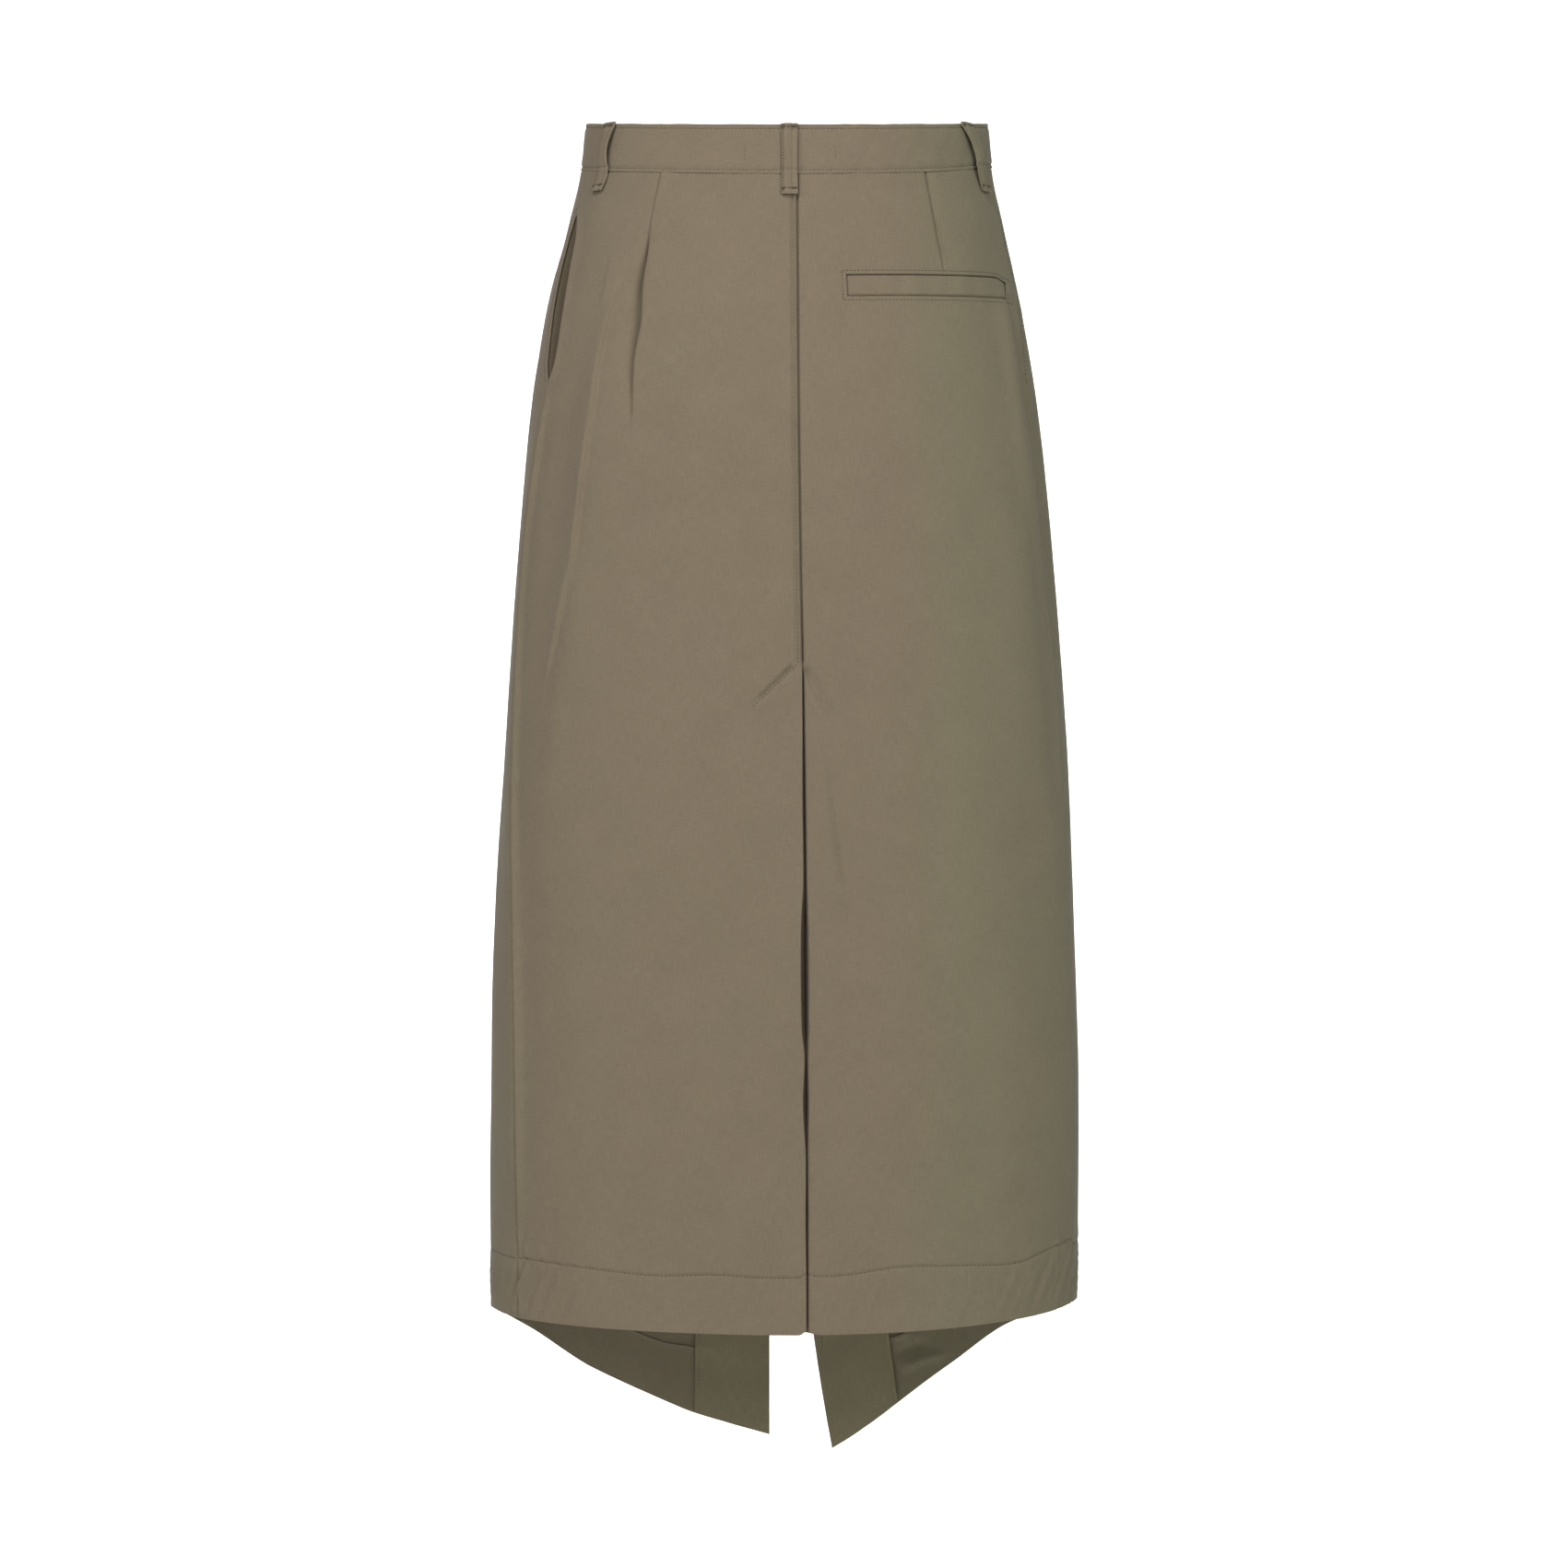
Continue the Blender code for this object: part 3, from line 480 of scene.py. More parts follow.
def mouth_open(side, height):
    """How far a hip pocket's mouth stands open behind its side seam and in front of it."""
    if side < 0:
        share = np.clip((POCKET_MOUTH_TOP - height) / (POCKET_MOUTH_TOP - POCKET_MOUTH_BOTTOM), 0, 1)
        return 0 * share, 0.0008 * np.sin(np.pi * share)
    return tuple(np.maximum(column_at(LEFT_MOUTH, column, height), 0) for column in ("back", "front"))


def hem_at(side, is_front, share):
    if is_front:
        return SIDE_HEM[side] - value_at(HEM_DROP[side], share)
    corner = 0.0026 * ease((share - 0.962) / 0.038) ** 2 if side > 0 else 0.0014 * ease((share - 0.94) / 0.06)
    return blend(SIDE_HEM[side], BACK_HEM, 1 - (1 - share) ** HEM_ROUNDING) + corner


def hem_turn(side, is_front, share):
    return value_at(HEM_TURN_FRONT if is_front else HEM_TURN_BACK[side], share)


def window_ends(height):
    """Shares of the right back panel, from its side seam, at the outer and inner ends of the pocket's window."""
    part = np.clip((WELT_OUTER_HEIGHT + WELT_WIDTH / 2 - height) / WELT_WIDTH, 0, 1)
    return tuple(blend(*ends, part) for ends in WINDOW_ENDS)


def window_level(share, up):
    """Height in the pocket's window, up being from its middle. Its top edge sags near its outer end."""
    along = (WINDOW_INNER - share) / (WINDOW_INNER - WINDOW_OUTER)
    sag = 0.0032 * ease((along - 0.86) / 0.14) ** 2 * ease((up + 0.004) / 0.011)
    bow = 0.0005 * np.sin(np.pi * np.clip(along, 0, 1))
    return blend(WELT_INNER_HEIGHT, WELT_OUTER_HEIGHT, np.clip(along, 0, 1)) + up - sag - bow


def window_depth(share, height):
    """How far inside the window's side and lower edges a place is, and how far under its top edge."""
    outer, inner = window_ends(height)
    across = BACK_WIDTH * np.minimum(share - outer, inner - share)
    from_low = height - window_level(share, -WELT_WIDTH / 2)
    from_top = window_level(share, WELT_WIDTH / 2) - height
    return np.minimum(np.minimum(across, from_low), from_top), np.minimum(across, from_low), from_top


def lap_lift(from_edge, beyond_end):
    return LAP_LIFT * ease(1 - (from_edge - UNDERLAP_WIDTH) / LAP_EASE) * ease(1 - beyond_end / LAP_FADE)


# ------------------------------------------------------------------ grids that are finer where the cloth needs it
EDGE_STEPS = {
    0: np.array([0.0]),
    1: np.array([0, 0.25, 0.6, 1.2, 2.2]) * 1e-3,
    2: np.array([0, 0.12, 0.3, 0.55, 0.9, 1.4, 2.1, 3.0, 4.2]) * 1e-3,
}


def spread(length, step, fine_start=2, fine_end=2):
    """Places from 0 to 1 along a length, about a step apart and closer at its ends as they ask."""
    head, tail = EDGE_STEPS[fine_start], EDGE_STEPS[fine_end]
    room = length - head[-1] - tail[-1]
    middle = max(1, int(round(room / step)))
    inner = head[-1] + room * np.arange(1, middle) / middle
    return np.concatenate([head, inner, (length - tail)[::-1]]) / length


def lines_between(lengths, steps, fine):
    """Grid lines through stretches of cloth: each is a stretch's number and a share of it."""
    places = []
    for number, (length, step) in enumerate(zip(lengths, steps)):
        part = spread(length, step, fine[number], fine[number + 1])
        last = number == len(lengths) - 1
        places += [(number, share) for share in (part if last else part[:-1])]
    return places


def at_lines(places, anchors):
    """Values of the anchors at each grid line, stacked on a new first axis."""
    return np.stack([blend(anchors[number], anchors[number + 1], share) for number, share in places])


# ------------------------------------------------------------------ meshes
def mesh_object(name, verts, faces, material, flat=None):
    """faces is a list of arrays, each of faces with the same number of corners."""
    mesh = bpy.data.meshes.new(name)
    mesh.vertices.add(len(verts))
    mesh.vertices.foreach_set("co", np.asarray(verts, np.float32).ravel())
    corners = np.concatenate([np.asarray(group, np.int32).ravel() for group in faces])
    sizes = np.concatenate([np.full(len(group), group.shape[1], np.int32) for group in faces])
    mesh.loops.add(len(corners))
    mesh.loops.foreach_set("vertex_index", corners)
    mesh.polygons.add(len(sizes))
    mesh.polygons.foreach_set("loop_start", np.concatenate([[0], np.cumsum(sizes)[:-1]]).astype(np.int32))
    mesh.update(calc_edges=True)
    mesh.validate()
    mesh.shade_smooth()
    if flat is not None:
        layer = mesh.attributes.new("flat", "FLOAT_VECTOR", "POINT")
        layer.data.foreach_set("vector", np.asarray(flat, np.float32).ravel())
    mesh.materials.append(material)
    made = bpy.data.objects.new(name, mesh)
    bpy.context.scene.collection.objects.link(made)
    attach(made, "root")
    return made


def make_piece(node, bearing, height, lifts, grain, material, valid=None, cut=None):
    """One piece of cloth between two lifts, in place of its solid."""
    outer, inner = (skin(bearing, height, lift) for lift in lifts)
    made = shell(node.replace("_panel", "") + "_cloth", outer, inner, grain, material, valid, cut)
    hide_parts(node)
    return made


def shell(name, outer, inner, grain, material, valid, cut):
    """A closed wall between two grids of points, rows down and columns across, both as seen from outside.
    The grain is each grid point's place on the cloth laid flat. Cells that are not valid or are cut stay open."""
    rows, columns = outer.shape[:2]
    valid = np.ones((rows, columns), bool) if valid is None else valid
    cell = valid[:-1, :-1] & valid[:-1, 1:] & valid[1:, 1:] & valid[1:, :-1]
    if cut is not None:
        cell &= ~cut
    around = np.pad(cell, 1)
    valid = around[:-1, :-1] | around[:-1, 1:] | around[1:, :-1] | around[1:, 1:]
    count = int(valid.sum())
    number = np.full((rows, columns), -1)
    number[valid] = np.arange(count)
    a, b, c, d = number[:-1, :-1], number[:-1, 1:], number[1:, 1:], number[1:, :-1]
    face = np.stack([a, b, c, d], -1)[cell]
    faces = [face, face[:, ::-1] + count]
    padded = np.pad(cell, 1)
    sides = ((padded[:-2, 1:-1], a, b), (padded[1:-1, 2:], b, c), (padded[2:, 1:-1], c, d), (padded[1:-1, :-2], d, a))
    for beyond, start, end in sides:
        rim = cell & ~beyond
        faces.append(np.stack([end[rim], start[rim], start[rim] + count, end[rim] + count], -1))
    faces = np.concatenate(faces)
    row, column = np.argwhere(cell)[int(cell.sum()) // 2]
    corner = outer[row, column]
    out = np.cross(outer[row, column + 1] - corner, outer[row + 1, column] - corner)
    if np.dot(out, corner - inner[row, column]) < 0:
        faces = faces[:, ::-1]
    place = np.stack(np.broadcast_arrays(*grain, np.zeros((rows, columns))), -1)[valid]
    verts = np.concatenate([outer[valid], inner[valid]])
    return mesh_object(name, verts, [faces], material, np.concatenate([place, place]))


def rounded(from_edge, radius=EDGE_ROUND):
    """How far a face has turned in towards the middle of a folded edge."""
    inside = np.clip(radius - from_edge, 0, radius)
    return radius - np.sqrt(np.maximum(radius**2 - inside**2, 0))


# ------------------------------------------------------------------ stitches
def between(marks, places, values):
    """Values at marks along a line, from those at its places."""
    return np.stack([np.interp(marks, places, values[:, axis]) for axis in range(3)], -1)


class Sewing:
    """Stitches gathered for one joined mesh, each a short rounded bar whose ends dip into the cloth."""

    SHARES = np.array([-0.5, -0.3, 0.3, 0.5])
    SIZES = np.array([0.45, 1.0, 1.0, 0.45])
    RISES = np.array([-0.00026, 0.00010, 0.00010, -0.00026])
    SIDES = 6

    def __init__(self):
        self.verts, self.quads, self.caps, self.total = [], [], [], 0

    def bars(self, centres, alongs, outs, lengths, thread):
        """Add one bar at each centre, along a direction, on cloth that faces outs."""
        count = len(centres)
        across = unit(np.cross(outs, alongs))
        turn = 2 * np.pi * np.arange(self.SIDES) / self.SIDES
        rings = []
        for share, size, rise in zip(self.SHARES, self.SIZES, self.RISES):
            middle = centres + alongs * (lengths * share)[:, None] + outs * rise
            round_it = across[:, None] * np.cos(turn)[:, None] + outs[:, None] * np.sin(turn)[:, None]
            rings.append(middle[:, None] + round_it * (thread / 2 * size))
        verts = np.stack(rings, 1)
        per = len(rings) * self.SIDES
        first = self.total + per * np.arange(count)[:, None, None]
        ring = np.arange(self.SIDES)
        nxt = (ring + 1) % self.SIDES
        quad = np.stack([ring, nxt, nxt + self.SIDES, ring + self.SIDES], -1)
        quads = [quad + k * self.SIDES for k in range(len(rings) - 1)]
        self.quads.append((first + np.concatenate(quads)).reshape(-1, 4))
        caps = np.stack([ring[::-1], (len(rings) - 1) * self.SIDES + ring])
        self.caps.append((first + caps).reshape(-1, self.SIDES))
        self.verts.append(verts.reshape(-1, 3))
        self.total += per * count

    def line(self, bearing, height, lift, pitch=PITCH, inside=False, thread=THREAD):
        """A row of stitches through places on the cloth."""
        points, outs = facing_line(bearing, height, lift)
        length = np.concatenate([[0], np.cumsum(np.linalg.norm(np.diff(points, axis=0), axis=-1))])
        count = max(1, int(round(length[-1] / pitch)))
        marks = (np.arange(count) + 0.5) * length[-1] / count
        half = length[-1] / count * 0.5 * STITCH_SHARE
        ahead, behind = between(marks + half, length, points), between(marks - half, length, points)
        lengths = np.linalg.norm(ahead - behind, axis=-1)
        facing = between(marks, length, outs) * (-1 if inside else 1)
        self.bars((ahead + behind) / 2, (ahead - behind) / lengths[:, None], facing, lengths, thread)

    def satin(self, bearing, height, lift, width, pitch=0.0004):
        """A bar tack: close stitches side by side along a line, each as long as the width."""
        points, outs = facing_line(bearing, height, lift)
        along = points[-1] - points[0]
        total = np.linalg.norm(along)
        count = max(3, int(total / pitch))
        marks, places = np.linspace(0, 1, count), np.linspace(0, 1, len(points))
        facing = between(marks, places, outs)
        lean = np.where(np.arange(count) % 2, 0.06, -0.06)[:, None] * along / total
        across = unit(np.cross(facing, along / total)) + lean
        centres = between(marks, places, points) + facing * 0.00008
        self.bars(centres, across, facing, np.full(count, width), FINE_THREAD)

    def finish(self, name, material):
        faces = [np.concatenate(group) for group in (self.quads, self.caps)]
        mesh_object(name, np.concatenate(self.verts), faces, material)


# ------------------------------------------------------------------ panels
PANELS = {
    "back_left_panel": (+1, False),
    "back_right_panel": (-1, False),
    "front_left_panel": (+1, True),
    "front_right_panel": (-1, True),
}
CREASES = dict(
    zip(PANELS.values(), (BACK_LEFT_CREASES, BACK_RIGHT_CREASES, FRONT_LEFT_CREASES, FRONT_RIGHT_CREASES))
)


def panel_start(side, is_front, height):
    """Bearing of a panel's edge at the side seam. The front is tucked under the back except at a pocket's mouth."""
    seam = side_seam(side, height)
    away = PIECE_GAP / 2 + mouth_open(side, height)[is_front]
    if is_front:
        away = away - SEAM_TUCK * ease(1 - sum(mouth_open(side, height)) / 0.0006)
    return seam + side * degrees_for(away, seam, height) * (1 if is_front else -1)


def panel_centre(side, is_front, height):
    centre = slit_edge(side, height) if is_front else centre_back(height)
    back = PIECE_GAP / 2
    if side > 0 and not is_front:
        back = back + vent_gape(height)
    return centre + (-side if is_front else side) * degrees_for(back, centre, height)


def panel_ends(side, is_front, height):
    return panel_start(side, is_front, height), panel_centre(side, is_front, height)


def panel_bearing(side, is_front, share, height):
    return blend(*panel_ends(side, is_front, height), share)


def near_line(crease, reach, out, height):
    """Which places are near a crease, and how far from it, along it and on which side of it they are."""
    start, end = np.array([crease.out_top, crease.top]), np.array([crease.out_bottom, crease.bottom])
    middle = np.array([crease.out_mid, crease.mid])
    pull = 2 * middle - (start + end) / 2
    share = np.linspace(0, 1, 15)[:, None]
    line = (1 - share) ** 2 * start + 2 * share * (1 - share) * pull + share**2 * end
    low, high = line.min(0) - reach, line.max(0) + reach
    near = (out > low[0]) & (out < high[0]) & (height > low[1]) & (height < high[1])
    place = np.stack([out[near], height[near]], -1)
    best, part, beyond = np.full(len(place), np.inf), np.zeros(len(place)), np.zeros(len(place))
    for number in range(len(line) - 1):
        leg = line[number + 1] - line[number]
        to_place = place - line[number]
        along = np.clip(to_place @ leg / (leg @ leg), 0, 1)
        apart = to_place - along[:, None] * leg
        distance = np.hypot(apart[:, 0], apart[:, 1])
        closer = distance < best
        best = np.where(closer, distance, best)
        part = np.where(closer, (number + along) / (len(line) - 1), part)
        beyond = np.where(closer, leg[0] * apart[:, 1] - leg[1] * apart[:, 0], beyond)
    return near, best, ease(part / crease.rise) * ease((1 - part) / crease.fall), beyond


def crease_lift(creases, out, height):
    """Lift of the fine creases at places that far out from the centre."""
    total = np.zeros(out.shape)
    for crease in creases:
        near, best, fade, beyond = near_line(crease, 2.6 * max(crease.inner, crease.outer), out, height)
        total[near] += crease.lift * mound(best, np.where(beyond > 0, crease.outer, crease.inner)) * fade
    return total


def fold_lines_lift(out, height):
    total = np.zeros(out.shape)
    for fold in BACK_LEFT_FOLDS:
        near, best, fade, beyond = near_line(fold, 0.045, out, height)
        distance = np.where(beyond > 0, -best, best)
        total[near] += fade * fold_step(distance, fold.low, fold.run, fold.high, fold.back, 0.0032)
    return total


def rumple(out, height, seed):
    """Slow unevenness of worn cloth, never the same twice across a panel."""
    total = np.zeros(out.shape)
    for number in range(7):
        turn = seed * 1.7 + number * 2.399
        across, down = 0.030 + 0.011 * number, 0.110 + 0.045 * ((number * 3) % 7)
        slant = 0.25 * np.sin(turn)
        wave = np.sin(2 * np.pi * (out + slant * height) / across + turn)
        total += 0.000045 * (1 + 0.35 * number) * wave * np.sin(2 * np.pi * height / down + 2 * turn)
    return total


def panel_face(side, is_front, bearing, height):
    """Lift of a panel's outer face, with its seams, stitching and creases, and the distances used for them."""
    start, centre = panel_ends(side, is_front, height)
    share = (bearing - start) / (centre - start)
    inside = np.clip(share, 0, 1)
    from_start = run_along(start, bearing, height)
    from_centre = run_along(centre, bearing, height) * np.where(share > 1, -1, 1)
    above_hem = height - hem_at(side, is_front, inside)
    turn = hem_turn(side, is_front, inside)
    mouth = ease(sum(mouth_open(side, height)) / 0.002)
    lift = crease_lift(CREASES[side, is_front], from_centre, height)
    if side > 0 and not is_front:
        lift += fold_lines_lift(from_centre, height)
    calm = ease(from_centre / 0.02) * ease(from_start / 0.02) * ease((above_hem - turn) / 0.02)
    lift += rumple(from_centre, height, side * 2 + is_front) * blend(0.35, 1.0, calm)

    # the layers that lap over another
    if side > 0 and not is_front:
        lift += lap_lift(from_centre, height - VENT_TOP)
    if side < 0 and is_front:
        lift += lap_lift(from_centre, FLY_BOTTOM - height)

    # the waist seam
    below = waist_seam(bearing) - height
    lift -= 0.0005 * mound(below, 0.0008)
    lift += 0.0003 * ease(1 - below / 0.012)

    # the side seam is pressed towards the back, which stands over the front there
    if is_front:
        ditch = SIDE_DITCH * mound(from_start - 0.0005, 0.0014) + 0.0003 * ease(1 - from_start / 0.006)
        lift -= (1 - mouth) * ditch
        lift += 0.0003 * (side > 0) * mouth * ease(1 - from_start / 0.020)
        lift -= 0.00025 * mouth * mound(from_start - 0.005, 0.0011)
    else:
        lift += 0.0008 * ease(1 - from_start / 0.011) * ease(from_start / 0.0016)
        lift += 0.0006 * (side > 0) * mouth * ease(1 - from_start / 0.008)
        lift -= 0.0003 * mound(from_start, 0.0005) * (1 - mouth)

    long_fold = ease((LONG_FOLD_TOP[side] - height) / 0.05) * ease((above_hem - 0.02) / 0.12)
    if side > 0:
        most, width = LEFT_LONG_FOLD[is_front]
        lift += long_fold * most * ease(1 - from_start / width)
    else:
        lift += long_fold * fold_step(from_start * (-1 if is_front else 1), *RIGHT_LONG_FOLD)
    roping = wander(height, 5.1 + side, (0.0133, 0.00020), (0.0087, 0.00016), (0.0241, 0.00022))
    roping = roping * (0.7 + 0.8 * mound(height + 0.21, 0.045) + 0.8 * ease(1 - above_hem / 0.10))
    lift += (1 - mouth) * roping * mound(from_start - 0.004, 0.0045)

    # the seam down the centre, pressed and topstitched on the wearer's left at the back
    if not is_front:
        sewn = ease((height - VENT_TOP) / 0.003)
        lift -= SEAM_DIP * sewn * np.where(share > 1, 1, mound(from_centre, SEAM_ROLL))
        if side > 0:
            ridge = TOPSTITCH_RIDGE * ease(1 - np.abs(from_centre - 0.0012) / 0.0013)
            lift += sewn * (ridge - TOPSTITCH_DITCH * mound(from_centre - TOPSTITCH - 0.0003, 0.0012))
            ripple = wander(height, 1.3, (0.0113, 0.00007), (0.0071, 0.00006), (0.0191, 0.00006))
            lift += sewn * ripple * mound(from_centre - 0.0055, 0.0035)
        else:
            gape = vent_gape(height)
            under = np.where(share > 1, 1, mound(from_centre, 0.0008 + 0.2 * gape))
            lift -= (UNDERLAP_DROP + 3.0 * gape) * under * ease((VENT_TOP - height) / 0.006)
    else:
        sewn = ease((height - SLIT_TOP) / 0.004)
        under_fly = ease((FLY_BOTTOM - height) / 0.01)
        if side > 0:
            lift -= SEAM_DIP * sewn * np.where(share > 1, 1, mound(from_centre, SEAM_ROLL))
        else:
            lift -= SEAM_DIP * sewn * under_fly * mound(from_centre, SEAM_ROLL)
            fly = mound(from_centre - fly_stitch(height), 0.0009)
            lift -= STITCH_DIP * fly * ease((height - FLY_BOTTOM + 0.004) / 0.002)
        lift -= STITCH_DIP * (1 - sewn) * mound(from_centre - SLIT_STITCH, 0.0009)

    # the hem's stitching pulls it in, and the turned-up cloth below it stands out
    pucker = wander(bearing, 0.7 + side, (1.9, 0.00010), (1.15, 0.00008), (3.7, 0.00009))
    pucker = pucker * (1 + 2.6 * ease(1 - from_start / NEAR_SIDE)) * (0.4 if is_front else 1)
    lift -= (HEM_PULL[is_front] + pucker) * mound(above_hem - turn, 0.0010)
    lift += pucker * 0.8 * mound(above_hem - turn - 0.005, 0.005)
    lift += blend(STITCH_DIP, STITCH_DIP + pucker, mound(above_hem - turn, 0.014)) * ease((turn - above_hem) / 0.004)
    near_side = 1 + 6.0 * ease(1 - from_start / NEAR_SIDE)
    cockle = near_side * wander(bearing + height * 150, 2.0 + side, (2.9, 0.00010), (1.7, 0.00006), (4.6, 0.00009))
    lift += cockle * mound(above_hem - turn * 0.5, turn * 0.4)
    return lift, share, from_start, from_centre, above_hem, turn


def fly_stitch(height):
    """How far the fly's stitching is from its edge: straight, then curving in to the centre front."""
    depth = np.clip((FLY_BOTTOM + FLY_CURVE - height) / FLY_CURVE, 0, 1)
    return FLY_WIDTH * np.sqrt(np.maximum(1 - depth**2, 0))


def fold_step(distance, low, run, high, back, rise):
    """Cloth that sinks towards a fold's line from the side, rises across it and falls off slowly beyond."""
    beyond = blend(-low, high * np.exp(-np.maximum(distance, 0) / back), ease(distance / rise))
    return np.where(distance < 0, -low * np.exp(np.minimum(distance, 0) / run), beyond)


def dart_share(side, height):
    """Share of a back panel at its dart, whose table reads from the side seam and not from an open mouth."""
    start, centre = panel_ends(side, False, height)
    share = value_at(DART[side], height)
    return (blend(side_seam(side, height), centre, share) - start) / (centre - start)


def dart_lift(side, share, from_start, from_centre, height):
    """A dart's sewn line is a fine ditch. On the wearer's left a fold is let go from it."""
    distance = (share - dart_share(side, height)) * (from_start + from_centre)
    there = ease((height - DART_END[side]) / 0.014)
    ditch = (0.0009 if side > 0 else 0.0016) * mound(distance, 0.0008)
    lift = there * (0.0006 * ease(1 - np.abs(distance) / 0.009) * (distance > 0) - ditch)
    if side > 0:
        strength = ease((-0.060 - height) / 0.045) * ease((height + 0.207) / 0.045)
        lower = ease((-0.128 - height) / 0.030)
        low, high = DART_FOLD * (1 - 0.60 * lower), 0.0018 + 0.0014 * lower
        lift = lift + strength * fold_step(distance, low, 0.0052, high, 0.0065, 0.0030)
    return lift


def dart_at(side, bearing, height):
    start, centre = panel_ends(side, False, height)
    share = (bearing - start) / (centre - start)
    return dart_lift(side, share, run_along(start, bearing, height), run_along(centre, bearing, height), height)


def panel_wall(is_front, above_hem, turn):
    """Thickness of a panel, with the turned-up hem inside it."""
    ply = 0.0002 if is_front else 0.0007
    return CLOTH + ply * ease((turn + 0.0005 - above_hem) / 0.001)


def panel_columns(side, is_front, height):
    """Shares of a panel, at each height, where its grid has a line: the seams, its dart and what is beside them."""
    none, all_of_it = np.zeros(np.shape(height)), np.ones(np.shape(height))
    if is_front:
        return [none, all_of_it - SLIT_FACING[side], all_of_it]
    dart = dart_share(side, height)
    if side > 0:
        return [none, dart, blend(dart, 1, 0.62), all_of_it]
    outer, inner = window_ends(height)
    return [none, outer + none, dart, inner + none, all_of_it]


# The stretches between those lines: how long, how far apart the grid's lines are, and how fine at each end.
COLUMN_STRETCHES = {
    (+1, True): ([0.206, 0.056], [0.0026, 0.0026], [2, 1, 2]),
    (-1, True): ([0.206, 0.056], [0.0026, 0.0026], [2, 1, 2]),
    (+1, False): ([0.083, 0.082, 0.050], [0.0013, 0.0022, 0.0013], [2, 2, 0, 2]),
    (-1, False): ([0.012, 0.071, 0.086, 0.046], [0.0014, 0.0020, 0.0024, 0.0018], [2, 1, 2, 1, 2]),
}


def panel_grid(side, is_front):
    """Shares and heights of a panel's grid, and which of its cells are the pocket's window."""
    lengths, steps, fine = COLUMN_STRETCHES[side, is_front]
    columns = lines_between(lengths, steps, fine)
    lower, upper = np.array([number for number, _ in columns]), np.array([part for _, part in columns])
    extra = FLY_UNDERLAP_WIDTH if (is_front and side > 0) else UNDERLAP_WIDTH if (not is_front and side < 0) else 0
    beyond = 1 + spread(extra, 0.003)[1:] * extra / sum(lengths) if extra else np.zeros(0)

    def shares_at(height):
        marks = np.stack(panel_columns(side, is_front, height[..., : len(lower)]))
        each = np.arange(len(lower))
        low, high = marks[lower, ..., each].T, marks[lower + 1, ..., each].T
        rest = np.broadcast_to(beyond, (*height.shape[:-1], len(beyond)))
        return np.concatenate([blend(low, high, upper), rest], -1)

    def level(rule):
        """Height of a grid row, as its rule has it at each column's share."""
        height = np.full(len(lower) + len(beyond), -0.1)
        for _ in range(3):
            height = rule(np.clip(shares_at(height), 0, 1))
        return height

    at_waist = np.array(-BAND_TOP)
    start, centre = panel_ends(side, is_front, at_waist)
    top = level(lambda share: waist_seam(blend(start, centre, share)) + BAND_TUCK)
    hem = level(lambda share: hem_at(side, is_front, share))
    turn_line = level(lambda share: hem_at(side, is_front, share) + hem_turn(side, is_front, share))
    vent_high, vent_low = np.full(top.shape, VENT_TOP + 0.016), np.full(top.shape, VENT_TOP - 0.034)
    levels = [top, turn_line, hem]
    row_lengths, row_steps, row_fine = [0.735, 0.040], [0.0036, 0.0026], [2, 2, 2]
    if not is_front:
        levels[1:1] = [vent_high, vent_low]
        row_lengths[0:1] = [0.320, 0.050, 0.365]
        row_steps[0:1] = [0.0034, 0.0014 if side > 0 else 0.0019, 0.0040]
        row_fine = [2, 0, 0, 2, 2]
    window = not is_front and side < 0
    if window:
        levels[1:1] = [level(lambda share: window_level(share, up)) for up in (WELT_WIDTH / 2, -WELT_WIDTH / 2)]
        row_lengths[0:1] = [0.066, WELT_WIDTH, 0.236]
        row_steps[0:1] = [0.0032, 0.0016, 0.0034]
        row_fine = [2, 1, 1, 0, 0, 2, 2]
    rows = lines_between(row_lengths, row_steps, row_fine)
    height = at_lines(rows, levels)
    share = shares_at(height)
    cut = None
    if window:
        in_rows = np.array([number == 1 for number, _ in rows])[:-1]
        in_columns = np.zeros(share.shape[1] - 1, bool)
        in_columns[: len(lower)] = (lower == 1) | (lower == 2)
        cut = in_rows[:, None] & in_columns[None, :]
    return share, height, cut


def make_panel(name, materials):
    side, is_front = PANELS[name]
    share, height, cut = panel_grid(side, is_front)
    inside = np.clip(share, 0, 1)
    start, centre = panel_ends(side, is_front, height)
    bearing = blend(start, centre, inside)
    beyond = np.maximum(share - 1, 0) * (FRONT_WIDTH if is_front else BACK_WIDTH)
    bearing = bearing + degrees_for(beyond, bearing, height)
    valid = (share <= 1) | (height > FLY_BOTTOM if is_front else height < VENT_TOP - beyond)
    flat_share = share
    outer, share, from_start, from_centre, above_hem, turn = panel_face(side, is_front, bearing, height)
    if not is_front:
        outer = outer + dart_lift(side, share, from_start, from_centre, height)
    wall = panel_wall(is_front, above_hem, turn)
    # folded free edges: the hem, the vent, the slit and the pocket's mouth
    free = (height < (SLIT_TOP if is_front else VENT_TOP)) & (share <= 1.001) & (is_front or side > 0)
    turned = np.maximum(rounded(above_hem), np.where(free, rounded(np.abs(from_centre)), 0))
    at_mouth = mouth_open(side, height)[is_front] > MOUTH_OPEN
    turned = np.maximum(turned, np.where(at_mouth, rounded(from_start), 0))
    if cut is not None:
        turned = np.maximum(turned, rounded(-window_depth(flat_share, height)[0], 0.0004))
    lifts = (outer - turned, outer - wall + turned)
    grain = (from_centre * side, height)
    return make_piece(name, bearing, height, lifts, grain, materials["cloth"], valid=valid, cut=cut)


